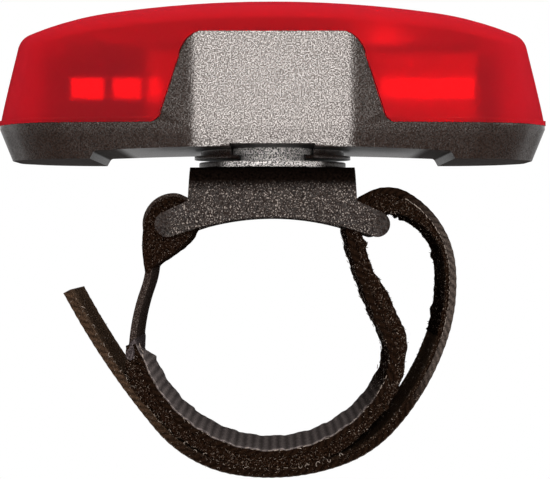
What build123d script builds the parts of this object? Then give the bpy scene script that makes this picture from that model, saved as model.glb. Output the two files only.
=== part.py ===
"""Rear light with a red lens on a hook-and-loop strap bracket, for a helmet, bar or seat post.

Millimetres. X runs along the light, Y away from the viewer, Z up. The origin is the centre
of the round tube that the strap loop clasps, and the strap's bars run along Y.
"""

from build123d import *
import math
import os

os.makedirs("parts", exist_ok=True)

# Overall sizes
LIGHT_REACH = 33.6  # half the light's length, at the split line
LIGHT_SIDE = 16.0  # half its width, at the flat middle of its sides
SIDE_FLAT = 9.5  # half the length of that flat
SPLIT_Z = 25.3  # joint line between casing and lens
LENS_TOP = 40.85
WALL = 1.7
LENS_WALL = 1.45
RUN_GAP = 0.1  # clearance between parts that slide on each other

# Plan outline corners, as shares of the light's reach and half width
SHOULDER = (0.87, 0.84)
END_CORNER = 0.36
FLAT_ROUND, SHOULDER_ROUND, END_ROUND = 9.0, 9.0, 7.0

# Rear casing
CASING_DRAFT_X, CASING_DRAFT_Y = 1.6, 0.1  # how far the walls draw in from the band to the feet
BAND_Z = 24.9  # foot of the upright band under the split line
FOOT_Z = 21.0
RECESS_TOP = 22.45
RECESS_HALF, RECESS_FOOT, RECESS_ROUND = 21.2, 22.0, 0.5
FLOOR_Z = 23.45
TAB_TOP = 36.0
TAB_TOP_HALF, TAB_BASE_HALF = 8.6, 14.4

# Slide-in socket under the casing, and the turntable's plate in it
SOCKET_R, SOCKET_LIP_R = 8.95, 9.75
SOCKET_LOW, LIP_TOP = 21.3, 21.75
MOUTH_IN, MOUTH_OUT = 5.5, 6.5  # where the socket's mouth widens
PLATE_R, NECK_R = 4.95, 4.0
PLATE_LOW, PLATE_TOP = 21.85, 22.7
DISC_R, DISC_LOW, DISC_TOP = 9.17, 20.2, 20.95
PIVOT_R, PIVOT_LOW = 2.4, 17.9

# Strap bracket
BRACKET_TOP = 20.05
BRACKET_HALF = 10.0
SADDLE_TOP, SADDLE_R = 14.05, 33.0
CORE_RISE = 0.4  # how far the core's underside stands back from the cheeks'
CHEEK_IN, CHEEK_OUT, CHEEK_ROUND = 10.4, 12.5, 1.8
CORE_HALF = 8.85
NOSE_X, NOSE_Z, NOSE_R = 12.55, 13.2, 1.55
BAR_X, BAR_R = 12.9, 1.1

# Strap: one course of tangent arcs along the woven face, as radius and turn, left turns positive
STRAP_HALF = 10.0
WEB, LOOP_PILE, LOW_PILE, HOOK_PILE = 0.8, 1.15, 0.6, 0.4
STRAP_START, STRAP_HEADING = (-16.05, -1.15), -78
INNER_LAP = [(16.5, 45), (16, 49), (15, 49), (5.5, 52), (57, -13), (5, -134)]
OUTER_LOOP = [(11.5, -55), (22, -23)]
OUTER_LAP = [(30.5, -24), (15.5, -28), (26, -29), (16, -41), (95, -12)]
TONGUE_TURN = 20  # how far the anchor web reaches down between the seam's layers, in degrees

# Anchor web round the left bar
ANCHOR = 0.4
ANCHOR_START, ANCHOR_HEADING = (-17.35, -1.3), 86
ANCHOR_STRIP = [(25, -16), (10, 27)]
ANCHOR_RISE = 2.6
ANCHOR_EYE = [(3.8, -97), (2.4, -90)]
ANCHOR_DROP = 0.6
ANCHOR_BACK = (2.5, -49)

# Inside the light
CLEAR = 0.05
TRAY_X, TRAY_Y, TRAY_LOW, TRAY_TOP = 28.0, 11.1, 23.6, 33.8
TRAY_STRAIGHT, TRAY_NOSE_Y = 24.6, 6.5
FIN_FROM, FIN_TO, FIN_TOP, FIN_IN, FIN_OUT = -21.4, -15.6, 35.5, 9.6, 10.4  # fins on the tray's long edges
CELL_R, CELL_HALF, CELL_Y, CELL_Z = 5.2, 21.75, 5.4, 28.8
BAY_R, BAY_HALF, BAY_SIDE = 5.3, 22.7, 10.7
NUB_R, NUB_LENGTH = 1.9, 0.8
CONTACT_IN, CONTACT_OUT, CONTACT_HALF = 24.1, 24.4, 4.6  # plates behind the cells
SPRING_R, SPRING_WIRE, SPRING_PITCH = 2.6, 0.25, 0.8
WINDOW_LOW, WINDOW_TOP = 28.2, 30.8
WINDOWS = [(-24.2, -20.2), (-19.2, -15.7), (-14.9, -13.3), (13.0, 24.2)]
REFLECTOR_IN, REFLECTOR_OUT = 10.7, 11.4
BOARD_X, BOARD_Y, BOARD_LOW, BOARD_TOP = 25.0, 8.6, 34.1, 35.0
SCREW_X, SCREW_R, SCREW_HEAD_R, SCREW_TIP = 18.0, 0.55, 1.3, 32.4
LED_SPACING, LED_R, LED_ROUND, LED_TOP = 14.0, 2.1, 1.7, 37.4
SWITCH_IN, SWITCH_OUT, PLUNGER_OUT = 11.1, 12.3, 12.65
BUTTON_Z, BUTTON_HALF, BUTTON_RISE = 30.2, 4.2, 2.8
FLANGE_IN, FLANGE_OUT, FLANGE_LIP = 13.5, 14.2, 1.0
BUTTON_OUT = 16.9

# Lens
LENS_SIDE = 15.75
LENS_DRAFT_END, LENS_DRAFT = 15.0, 8.0  # degrees, at the ends and all round
CROWN = [(140, -8), (38, -20)]  # top line from the middle outwards, as radius and turn
CROWN_SIDE_R = 55.0
LENS_ROUND = 2.4
RIM_HEIGHT, RIM_PROUD = 0.6, 0.1


def finish(part, name):
    """Labels a finished piece and writes it."""
    part.label = name
    export_step(part, f"parts/{name}.step")


def plan_outline(reach, side):
    """Makes the light's plan outline with the given half length and half width."""
    corners = [
        (reach, side * END_CORNER),
        (reach * SHOULDER[0], side * SHOULDER[1]),
        (SIDE_FLAT, side),
    ]
    ring = corners + [(-x, y) for x, y in reversed(corners)]
    ring += [(-x, -y) for x, y in ring]
    rounds = [END_ROUND, SHOULDER_ROUND, FLAT_ROUND]
    with BuildSketch(mode=Mode.PRIVATE) as sketch:
        with BuildLine():
            Polyline(*ring, close=True)
        make_face()
        for (x, y), radius in zip(corners, rounds):
            at_corner = [v for v in sketch.vertices() if abs(abs(v.X) - x) < 0.01 and abs(abs(v.Y) - y) < 0.01]
            fillet(at_corner, radius * side / LIGHT_SIDE)
    return sketch.sketch


def drafted(low_z, low, high_z, high):
    """Makes a solid between two plan outlines, each given as (reach, side)."""
    faces = [Pos(0, 0, low_z) * plan_outline(*low), Pos(0, 0, high_z) * plan_outline(*high)]
    return loft(faces, ruled=True, mode=Mode.PRIVATE)


def course(stretches, start, heading, depth):
    """Draws tangent arcs at a depth to the right of a course, and returns where and how it ends."""
    point = Vector(*start) + Vector(0, -depth).rotate(Axis.Z, heading)
    for radius, turn in stretches:
        arc = JernArc(point, Vector(1, 0).rotate(Axis.Z, heading), radius + math.copysign(depth, turn), turn)
        point = arc @ 1
        heading += turn
    return point, heading


def layer(stretches, start, heading, top, bottom):
    """Makes the face of one strap layer between two depths."""
    side = Vector(0, -1).rotate(Axis.Z, heading)
    with BuildSketch(mode=Mode.PRIVATE) as face:
        with BuildLine():
            near_end, _ = course(stretches, start, heading, top)
            far_end, _ = course(stretches, start, heading, bottom)
            Line(Vector(*start) + side * top, Vector(*start) + side * bottom)
            Line(near_end, far_end)
        make_face()
    return face.sketch


def end_of(stretches, start, heading):
    """Gives the point and heading at the end of a course."""
    with BuildLine(mode=Mode.PRIVATE):
        point, heading = course(stretches, start, heading, 0)
    return (point.X, point.Y), heading


LOOP_START, LOOP_HEADING = end_of(INNER_LAP, STRAP_START, STRAP_HEADING)
LAP_START, LAP_HEADING = end_of(OUTER_LOOP, LOOP_START, LOOP_HEADING)

# Woven backing ribbon of both laps and the tail
with BuildPart() as strap_web:
    with BuildSketch(Plane.XZ):
        add(layer(INNER_LAP + OUTER_LOOP + OUTER_LAP, STRAP_START, STRAP_HEADING, 0, WEB))
    extrude(amount=STRAP_HALF, both=True)
finish(strap_web.part, "strap_web")

# Hook pile of the outer lap and the free tail
with BuildPart() as hook_pile:
    with BuildSketch(Plane.XZ):
        add(layer(OUTER_LAP, LAP_START, LAP_HEADING, WEB, WEB + HOOK_PILE))
    extrude(amount=STRAP_HALF - 0.2, both=True)
finish(hook_pile.part, "hook_pile")

# Soft loop pile of the inner lap, raised over the anchor's tongue at the seam, thinner past
# the bar and pressed in where the hooks meet it
first_radius, first_turn = INNER_LAP[0]
tongue = [(first_radius, TONGUE_TURN)]
PILE_START, PILE_HEADING = end_of(tongue, STRAP_START, STRAP_HEADING)
rest_of_lap = [(first_radius, first_turn - TONGUE_TURN)] + INNER_LAP[1:]
with BuildPart() as loop_pile:
    with BuildSketch(Plane.XZ):
        add(layer(tongue, STRAP_START, STRAP_HEADING, WEB + 2 * ANCHOR, WEB + 2 * ANCHOR + LOOP_PILE))
        add(layer(rest_of_lap, PILE_START, PILE_HEADING, WEB, WEB + LOOP_PILE))
        add(layer(OUTER_LOOP, LOOP_START, LOOP_HEADING, WEB, WEB + LOW_PILE))
    extrude(amount=STRAP_HALF - 0.2, both=True)
    add(hook_pile.part, mode=Mode.SUBTRACT)
    add(strap_web.part, mode=Mode.SUBTRACT)
finish(loop_pile.part, "loop_pile")

# Thin anchor web: an eye round the left bar and a doubled strip sewn into the strap
NECK, NECK_HEADING = end_of(ANCHOR_STRIP, ANCHOR_START, ANCHOR_HEADING)
with BuildPart() as anchor_web:
    with BuildSketch(Plane.XZ):
        add(layer(tongue, STRAP_START, STRAP_HEADING, WEB, WEB + 2 * ANCHOR))
        add(layer(ANCHOR_STRIP, ANCHOR_START, ANCHOR_HEADING, 0, 2 * ANCHOR))
        with BuildSketch(mode=Mode.PRIVATE) as eye:
            with BuildLine():
                rise = PolarLine(NECK, ANCHOR_RISE, NECK_HEADING)
                end, turned = course(ANCHOR_EYE, tuple(rise @ 1)[:2], NECK_HEADING, 0)
                drop = PolarLine(end, ANCHOR_DROP, turned)
                back, turned = course([ANCHOR_BACK], tuple(drop @ 1)[:2], turned, 0)
                foot = (NECK[0] + 2 * ANCHOR, NECK[1] - ANCHOR_RISE * 0.8)
                Line(back, foot)
                Line(foot, NECK)
            make_face()
        add(eye.sketch)
        offset(eye.sketch, amount=-ANCHOR, mode=Mode.SUBTRACT)
    extrude(amount=STRAP_HALF - 0.4, both=True)
    add(strap_web.part, mode=Mode.SUBTRACT)
finish(anchor_web.part, "anchor_web")

# Two rows of thread across the seam
with BuildPart() as seam_stitches:
    for row in (0.08, 0.3):
        (row_x, row_z), row_heading = end_of([(first_radius, TONGUE_TURN * row)], STRAP_START, STRAP_HEADING)
        side = Vector(0, -1).rotate(Axis.Z, row_heading)
        outward = WEB + 2 * ANCHOR + LOOP_PILE + 0.15
        centre = (row_x + side.X * outward, 0, row_z + side.Y * outward)
        with BuildSketch(Plane(origin=centre, x_dir=(0, 1, 0), z_dir=(side.X, 0, side.Y))):
            with GridLocations(3.0, 1, 6, 1):
                SlotOverall(2.2, 0.4)
        extrude(amount=0.15, both=True)
finish(seam_stitches.part, "seam_stitches")


def cheek_outline():
    """Makes the face of a cheek plate of the bracket: a trapezoid with a rounded arm at each end."""
    with BuildSketch(mode=Mode.PRIVATE) as face:
        with BuildLine() as line:
            top = Line((0, BRACKET_TOP), (BRACKET_HALF - 0.1, BRACKET_TOP))
            wall = Line(top @ 1, (BRACKET_HALF + 0.15, 16.0))
            arm = Line(wall @ 1, (NOSE_X + 0.85, NOSE_Z + 1.3))
            nose = ThreePointArc(arm @ 1, (NOSE_X + NOSE_R, NOSE_Z), (NOSE_X - 0.1, NOSE_Z - NOSE_R))
            under = Line(nose @ 1, (8.4, SADDLE_TOP - 1.1))
            ThreePointArc(under @ 1, (4.2, SADDLE_TOP - 0.27), (0, SADDLE_TOP))
            mirror(line.line, about=Plane.YZ)
        make_face()
    return face.sketch


# Bracket: saddle and top plate between two cheeks, with a bar for the strap at each end
with BuildPart() as strap_bracket:
    for start in (CHEEK_IN, -CHEEK_OUT):
        with BuildSketch(Plane.XZ.offset(start)):
            add(cheek_outline())
        extrude(amount=CHEEK_OUT - CHEEK_IN)
    brows = [e for e in strap_bracket.edges().filter_by(Axis.X)
             if abs(e.center().Z - BRACKET_TOP) < 0.01 and abs(e.center().Y) > CHEEK_IN + 0.1]
    fillet(brows, CHEEK_ROUND)
    with BuildSketch(Plane.XZ):
        with Locations((0, (BRACKET_TOP + SADDLE_TOP) / 2)):
            Rectangle(2 * CORE_HALF, BRACKET_TOP - SADDLE_TOP + 3)
        with Locations((0, SADDLE_TOP + CORE_RISE - SADDLE_R)):
            Circle(SADDLE_R, mode=Mode.SUBTRACT)
    extrude(amount=CHEEK_IN, both=True)
    with BuildSketch(Plane.XY.offset(BRACKET_TOP)):
        Rectangle(30, 30)
    extrude(amount=5, mode=Mode.SUBTRACT)
    with BuildSketch(Plane.XY.offset(SADDLE_TOP - 2)):
        RectangleRounded(2 * CORE_HALF - 3.2, 2 * CHEEK_IN - 2, 1.5)
        Circle(5.0, mode=Mode.SUBTRACT)
    extrude(amount=BRACKET_TOP - 2.0 - SADDLE_TOP + 2, mode=Mode.SUBTRACT)
    with BuildSketch(Plane.XZ):
        with Locations((BAR_X, NOSE_Z), (-BAR_X, NOSE_Z)):
            Circle(BAR_R)
    extrude(amount=CHEEK_IN, both=True)
    with Locations((0, 0, SADDLE_TOP - 2)):
        Cylinder(3.4, PIVOT_LOW + 0.05 - SADDLE_TOP + 2, align=(Align.CENTER, Align.CENTER, Align.MIN),
                 mode=Mode.SUBTRACT)
    with Locations((0, 0, BRACKET_TOP)):
        CounterBoreHole(PIVOT_R + RUN_GAP / 2, 6.2, 0.5, depth=4)
finish(strap_bracket.part, "strap_bracket")

# Wave washer that gives the swivel its drag
with BuildPart() as wave_washer:
    with BuildSketch(Plane.XY.offset(BRACKET_TOP - 0.45)):
        Circle(5.9)
        Circle(3.0, mode=Mode.SUBTRACT)
    extrude(amount=0.45)
finish(wave_washer.part, "wave_washer")

# Turntable: disc on the bracket, pivot below it, slide plate on a neck above it
with BuildPart() as turntable:
    with BuildSketch(Plane.XZ):
        with BuildLine():
            Polyline(
                (0, PIVOT_LOW), (PIVOT_R, PIVOT_LOW), (PIVOT_R, DISC_LOW), (DISC_R, DISC_LOW),
                (DISC_R, DISC_TOP), (NECK_R, DISC_TOP), (NECK_R, PLATE_LOW), (PLATE_R, PLATE_LOW),
                (PLATE_R, PLATE_TOP), (0, PLATE_TOP), close=True,
            )
        make_face()
    revolve(axis=Axis.Z)
    fillet(turntable.edges().filter_by(GeomType.CIRCLE).filter_by(lambda e: abs(e.radius - DISC_R) < 0.01), 0.2)
    with Locations((0, 0, PIVOT_LOW)):
        Cylinder(1.0, 3.6, align=(Align.CENTER, Align.CENTER, Align.MIN), mode=Mode.SUBTRACT)
finish(turntable.part, "turntable")

# Screw that holds the turntable down, with its retaining washer
SCREW_HEAD_TOP = PIVOT_LOW - 0.5
with BuildPart() as pivot_washer:
    with BuildSketch(Plane.XY.offset(SCREW_HEAD_TOP)):
        Circle(3.2)
        Circle(1.05, mode=Mode.SUBTRACT)
    extrude(amount=0.5)
finish(pivot_washer.part, "pivot_washer")

with BuildPart() as pivot_screw:
    with BuildSketch(Plane.XY.offset(SCREW_HEAD_TOP - 1.1)):
        Circle(1.9)
    extrude(amount=1.1)
    with BuildSketch(Plane.XY.offset(SCREW_HEAD_TOP)):
        Circle(0.98)
    extrude(amount=3.8)
    with BuildSketch(Plane.XY.offset(SCREW_HEAD_TOP - 1.1)):
        Rectangle(2.4, 0.5)
        Rectangle(0.5, 2.4)
    extrude(amount=0.7, mode=Mode.SUBTRACT)
finish(pivot_screw.part, "pivot_screw")


def tab_outline(grow):
    """Makes the face of a trapezoid side tab, with heels that flare into the split line."""
    half_top, half_base, top = TAB_TOP_HALF + grow, TAB_BASE_HALF + grow, TAB_TOP + grow
    with BuildSketch(mode=Mode.PRIVATE) as face:
        with BuildLine() as line:
            base = Line((0, SPLIT_Z - 2), (half_base, SPLIT_Z - 2))
            foot = Line(base @ 1, (half_base, SPLIT_Z))
            heel = ThreePointArc(foot @ 1, (half_base - 0.9, SPLIT_Z + 0.5), (half_base - 1.3, SPLIT_Z + 1.4))
            flank = Line(heel @ 1, (half_top + 2.4, TAB_TOP - 2.9))
            brow = ThreePointArc(flank @ 1, (half_top + 1.6, top - 1.1), (half_top, top))
            Line(brow @ 1, (0, top))
            mirror(line.line, about=Plane.YZ)
        make_face()
    return face.sketch


# Rear casing: tray-shaped lower shell with two end feet, a tab up each side and the socket
inner_reach, inner_side = LIGHT_REACH - WALL, LIGHT_SIDE - WALL
with BuildPart() as rear_casing:
    full, at_feet = (LIGHT_REACH, LIGHT_SIDE), (LIGHT_REACH - CASING_DRAFT_X, LIGHT_SIDE - CASING_DRAFT_Y)
    add(drafted(FOOT_Z, at_feet, BAND_Z, full))
    add(drafted(BAND_Z, full, SPLIT_Z, full))
    with BuildSketch(Plane.XZ):
        with BuildLine():
            springing = RECESS_TOP - 0.5
            ceiling = ThreePointArc((-RECESS_HALF, springing), (0, RECESS_TOP), (RECESS_HALF, springing))
            Polyline(ceiling @ 1, (RECESS_FOOT, FOOT_Z - 0.5), (-RECESS_FOOT, FOOT_Z - 0.5), ceiling @ 0)
        recess = make_face()
        fillet(recess.vertices().filter_by(lambda v: abs(v.Y) > RECESS_TOP - 1), RECESS_ROUND)
    extrude(amount=20, both=True, mode=Mode.SUBTRACT)
    hollow = (inner_reach, inner_side)
    add(drafted(FLOOR_Z, hollow, SPLIT_Z + 0.1, hollow), mode=Mode.SUBTRACT)
    with BuildSketch(Plane.XY.offset(FOOT_Z + 1.6)):
        with Locations((28.4, 0), (-28.4, 0)):
            RectangleRounded(4.6, 15.0, 2.0)
    extrude(amount=FLOOR_Z - FOOT_Z, mode=Mode.SUBTRACT)
    tab_block = extrude(Plane.XZ * tab_outline(0), amount=20, both=True, mode=Mode.PRIVATE)
    side_wall = drafted(SPLIT_Z - 0.6, full, TAB_TOP + 1, full)
    side_wall -= drafted(SPLIT_Z - 1, hollow, TAB_TOP + 2, hollow)
    add(side_wall & tab_block)
    with BuildSketch(Plane.XY.offset(SOCKET_LOW)):
        Circle(SOCKET_LIP_R)
    extrude(amount=LIP_TOP - SOCKET_LOW - 0.05)
    with BuildSketch(Plane.XY.offset(SOCKET_LOW)):
        Circle(SOCKET_R)
    extrude(amount=RECESS_TOP - SOCKET_LOW + 0.2)
    with BuildSketch(Plane.XY.offset(LIP_TOP)):
        Circle(PLATE_R + RUN_GAP)
        with Locations((0, -LIGHT_SIDE / 2 - 0.5)):
            Rectangle(2 * PLATE_R + 2 * RUN_GAP, LIGHT_SIDE + 1)
    extrude(amount=PLATE_TOP - LIP_TOP + 0.05, mode=Mode.SUBTRACT)
    with BuildSketch(Plane.XY.offset(SOCKET_LOW - 0.1)):
        Circle(NECK_R + RUN_GAP)
        with Locations((0, -SOCKET_LIP_R / 2)):
            Rectangle(2 * NECK_R + 2 * RUN_GAP, SOCKET_LIP_R + 0.5)
        with BuildLine():
            narrow, wide, outside = NECK_R + RUN_GAP, PLATE_R + RUN_GAP, SOCKET_LIP_R + 0.5
            Polyline((-narrow, -MOUTH_IN), (narrow, -MOUTH_IN), (wide, -MOUTH_OUT), (wide, -outside),
                     (-wide, -outside), (-wide, -MOUTH_OUT), close=True)
        make_face()
    extrude(amount=LIP_TOP - SOCKET_LOW + 0.2, mode=Mode.SUBTRACT)
    with BuildSketch(Plane.XZ.offset(-LIGHT_SIDE - 1)):
        with Locations((0, BUTTON_Z)):
            Ellipse(BUTTON_HALF + RUN_GAP, BUTTON_RISE + RUN_GAP)
    extrude(amount=WALL + 2, mode=Mode.SUBTRACT)
finish(rear_casing.part, "rear_casing")


def crowned(reach, side, low, top, rounding):
    """Makes the solid under the lens's crown: drafted walls from a base, with rounded shoulders."""
    lean, end_lean = math.radians(LENS_DRAFT), math.radians(LENS_DRAFT_END)
    deep = low - 4.0
    grow = (low - deep) * math.tan(lean) - rounding / math.cos(lean)
    base = Pos(0, 0, deep) * plan_outline(reach + grow, side + grow)
    core = extrude(base, amount=top + 1 - rounding - deep, taper=LENS_DRAFT, mode=Mode.PRIVATE)
    for sign, inward in ((1, Align.MIN), (-1, Align.MAX)):
        end = Box(20, 60, 80, align=(inward, Align.CENTER, Align.CENTER), mode=Mode.PRIVATE)
        place = Pos(sign * (reach - rounding / math.cos(end_lean)), 0, low)
        core -= place * Rot(0, -sign * LENS_DRAFT_END, 0) * end
    with BuildLine(mode=Mode.PRIVATE) as path:
        end, heading = course(CROWN, (0, top - rounding), 0, 0)
        PolarLine(end, 8, heading)
        mirror(path.line, about=Plane.YZ)
    ridge = (Plane.XZ * path.line).wires()[0]
    across = Plane(origin=ridge @ 0, x_dir=(0, 1, 0), z_dir=ridge % 0)
    up = math.copysign(1, across.y_dir.Z)
    drop = CROWN_SIDE_R - math.sqrt(CROWN_SIDE_R**2 - 20**2)
    with BuildSketch(across, mode=Mode.PRIVATE) as section:
        with BuildLine():
            ThreePointArc((-20, -drop * up), (0, 0), (20, -drop * up))
            Polyline((20, -drop * up), (20, 9 * up), (-20, 9 * up), (-20, -drop * up))
        make_face()
    core -= sweep(section.sketch, path=ridge, mode=Mode.PRIVATE)
    if rounding:
        core = offset(core, amount=rounding, kind=Kind.ARC, mode=Mode.PRIVATE)
    below = Box(90, 50, 40, align=(Align.CENTER, Align.CENTER, Align.MAX), mode=Mode.PRIVATE)
    return core - Pos(0, 0, low) * below


# Lens: thin crowned shell, notched over the casing's side tabs, with a low rim along its edge
LENS_LOW = SPLIT_Z + CLEAR
lens_outside = crowned(LIGHT_REACH, LENS_SIDE, LENS_LOW, LENS_TOP, LENS_ROUND)
lens_inside = crowned(LIGHT_REACH - LENS_WALL, LENS_SIDE - LENS_WALL, LENS_LOW - 1, LENS_TOP - LENS_WALL, 0)
rim = (LIGHT_REACH + RIM_PROUD, LENS_SIDE + RIM_PROUD)
with BuildPart() as lens:
    add(lens_outside)
    add(drafted(LENS_LOW, rim, SPLIT_Z + RIM_HEIGHT, rim))
    add(lens_inside, mode=Mode.SUBTRACT)
    extrude(Plane.XZ * tab_outline(0.2), amount=20, both=True, mode=Mode.SUBTRACT)
finish(lens.part, "lens")

# Soft sealing ring along the inside of the casing wall, under the lens
with BuildPart() as gasket:
    ring_out = (inner_reach - CLEAR, inner_side - CLEAR)
    ring_in = (inner_reach - 1.1, inner_side - 1.1)
    add(drafted(FLOOR_Z + CLEAR, ring_out, SPLIT_Z, ring_out))
    add(drafted(FLOOR_Z - 1, ring_in, SPLIT_Z + 1, ring_in), mode=Mode.SUBTRACT)
finish(gasket.part, "gasket")

# Battery tray: dark box over two cells, with reflector windows in its long sides
with BuildPart() as battery_tray:
    with BuildSketch(Plane.XY.offset(TRAY_LOW)):
        with BuildLine() as quarter:
            Polyline((0, TRAY_Y), (TRAY_STRAIGHT, TRAY_Y), (TRAY_X, TRAY_NOSE_Y), (TRAY_X, 0))
            mirror(quarter.line, about=Plane.YZ)
            mirror(quarter.line, about=Plane.XZ)
        make_face()
    extrude(amount=TRAY_TOP - TRAY_LOW)
    chamfer(battery_tray.faces().sort_by(Axis.Z)[-1].edges(), 0.5)
    for start in (FIN_IN, -FIN_OUT):
        with BuildSketch(Plane.XZ.offset(start)):
            with BuildLine():
                Polyline((FIN_FROM, TRAY_TOP - 0.4), (FIN_FROM, FIN_TOP), (FIN_TO, TRAY_TOP - 0.4), close=True)
            make_face()
        extrude(amount=FIN_OUT - FIN_IN)
    with BuildSketch(Plane.YZ):
        for y in (CELL_Y, -CELL_Y):
            with Locations((y, CELL_Z)):
                Circle(BAY_R)
        with Locations((0, (CELL_Z + TRAY_LOW) / 2)):
            Rectangle(2 * BAY_SIDE, CELL_Z - TRAY_LOW)
    extrude(amount=BAY_HALF, both=True, mode=Mode.SUBTRACT)
    for sign in (1, -1):
        with Locations((sign * (BAY_HALF + CONTACT_OUT + CLEAR) / 2, 0, (TRAY_LOW + 33.0) / 2)):
            Box(CONTACT_OUT + CLEAR - BAY_HALF, 2 * BAY_SIDE - 0.3, 33.0 - TRAY_LOW, mode=Mode.SUBTRACT)
    with BuildSketch(Plane.XZ):
        for left, right in WINDOWS:
            with Locations(((left + right) / 2, (WINDOW_LOW + WINDOW_TOP) / 2)):
                Rectangle(right - left, WINDOW_TOP - WINDOW_LOW)
    extrude(amount=TRAY_Y + 1, both=True, mode=Mode.SUBTRACT)
    with Locations((SCREW_X, 0, TRAY_TOP), (-SCREW_X, 0, TRAY_TOP)):
        Hole(SCREW_R + CLEAR, depth=TRAY_TOP - SCREW_TIP + 0.1)
finish(battery_tray.part, "battery_tray")

# Two small round cells, laid head to tail
for name, y, sign in (("cell_1", CELL_Y, 1), ("cell_2", -CELL_Y, -1)):
    with BuildPart() as cell:
        with BuildSketch(Plane.YZ.offset(-CELL_HALF)):
            with Locations((y, CELL_Z)):
                Circle(CELL_R)
        extrude(amount=2 * CELL_HALF)
        fillet(cell.edges().filter_by(GeomType.CIRCLE), 0.4)
        with BuildSketch(Plane.YZ.offset(sign * CELL_HALF)):
            with Locations((y, CELL_Z)):
                Circle(NUB_R)
        extrude(amount=sign * NUB_LENGTH)
    finish(cell.part, name)


def contact_plate(sign, y_low, y_high, bump_y=None):
    """Makes a contact plate behind the cells, with a raised bump where a cell's nub meets it."""
    plate_x = sign * (CONTACT_IN + CONTACT_OUT) / 2
    place = Pos(plate_x, (y_low + y_high) / 2, CELL_Z)
    plate = place * Box(CONTACT_OUT - CONTACT_IN, y_high - y_low, 2 * CONTACT_HALF - 1.2, mode=Mode.PRIVATE)
    if bump_y is not None:
        length = CONTACT_IN - CELL_HALF - NUB_LENGTH - CLEAR
        bump = Rot(0, sign * 90, 0) * Cylinder(1.6, length + 0.1, mode=Mode.PRIVATE)
        plate += Pos(sign * (CONTACT_IN - length / 2 + 0.05), bump_y, CELL_Z) * bump
    return plate


with BuildPart() as positive_contact:
    add(contact_plate(1, CELL_Y - CONTACT_HALF, CELL_Y + CONTACT_HALF, CELL_Y))
finish(positive_contact.part, "positive_contact")

with BuildPart() as negative_contact:
    add(contact_plate(1, -CELL_Y - CONTACT_HALF, -CELL_Y + CONTACT_HALF))
finish(negative_contact.part, "negative_contact")

with BuildPart() as bridge_contact:
    add(contact_plate(-1, -CELL_Y - CONTACT_HALF, CELL_Y + CONTACT_HALF, -CELL_Y))
finish(bridge_contact.part, "bridge_contact")

# Coil springs that press on the flat ends of the cells
for name, y, sign in (("spring_1", CELL_Y, -1), ("spring_2", -CELL_Y, 1)):
    with BuildPart() as spring:
        start_x = CELL_HALF + CLEAR + SPRING_WIRE
        with BuildLine() as coil:
            Helix(SPRING_PITCH, CONTACT_IN - CLEAR - SPRING_WIRE - start_x, SPRING_R,
                  center=(sign * start_x, y, CELL_Z), direction=(sign, 0, 0))
        with BuildSketch(Plane(origin=coil.line @ 0, z_dir=coil.line % 0)):
            Circle(SPRING_WIRE)
        sweep(is_frenet=True)
    finish(spring.part, name)

# Red reflector blocks in the windows of the tray
with BuildPart() as side_reflectors:
    for sign in (1, -1):
        with BuildSketch(Plane.XZ.offset(-sign * REFLECTOR_IN)):
            for left, right in WINDOWS:
                with Locations(((left + right) / 2, (WINDOW_LOW + WINDOW_TOP) / 2)):
                    Rectangle(right - left - 2 * CLEAR, WINDOW_TOP - WINDOW_LOW - 2 * CLEAR)
        extrude(amount=-sign * (REFLECTOR_OUT - REFLECTOR_IN))
finish(side_reflectors.part, "side_reflectors")

# Circuit board over the tray
with BuildPart() as circuit_board:
    with BuildSketch(Plane.XY.offset(BOARD_LOW)):
        RectangleRounded(2 * BOARD_X, 2 * BOARD_Y, 3.0)
        with Locations((SCREW_X, 0), (-SCREW_X, 0)):
            Circle(SCREW_R + CLEAR, mode=Mode.SUBTRACT)
    extrude(amount=BOARD_TOP - BOARD_LOW)
finish(circuit_board.part, "circuit_board")

with BuildPart() as board_screws:
    for x in (SCREW_X, -SCREW_X):
        with Locations((x, 0, BOARD_TOP)):
            Cylinder(SCREW_HEAD_R, 0.8, align=(Align.CENTER, Align.CENTER, Align.MIN))
            Cylinder(SCREW_R, BOARD_TOP - SCREW_TIP, align=(Align.CENTER, Align.CENTER, Align.MAX))
        with Locations((x, 0, BOARD_TOP + 0.8)):
            Box(1.7, 0.35, 0.8, mode=Mode.SUBTRACT)
            Box(0.35, 1.7, 0.8, mode=Mode.SUBTRACT)
finish(board_screws.part, "board_screws")

# Three domed lamps along the middle of the board
for name, x in (("led_left", -LED_SPACING), ("led_centre", 0), ("led_right", LED_SPACING)):
    with BuildPart() as led:
        with Locations((x, 0, BOARD_TOP)):
            Cylinder(LED_R, LED_TOP - BOARD_TOP, align=(Align.CENTER, Align.CENTER, Align.MIN))
        fillet(led.edges().filter_by(GeomType.CIRCLE).sort_by(Axis.Z)[-1], LED_ROUND)
    finish(led.part, name)

# Push switch on the far side of the tray, behind the button
with BuildPart() as tactile_switch:
    with BuildSketch(Plane.XZ.offset(-SWITCH_IN)):
        with Locations((0, BUTTON_Z)):
            Rectangle(4.5, 4.5)
    extrude(amount=-(SWITCH_OUT - SWITCH_IN))
    with BuildSketch(Plane.XZ.offset(-SWITCH_OUT)):
        with Locations((0, BUTTON_Z)):
            Circle(1.2)
    extrude(amount=-(PLUNGER_OUT - SWITCH_OUT))
finish(tactile_switch.part, "tactile_switch")

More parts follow.
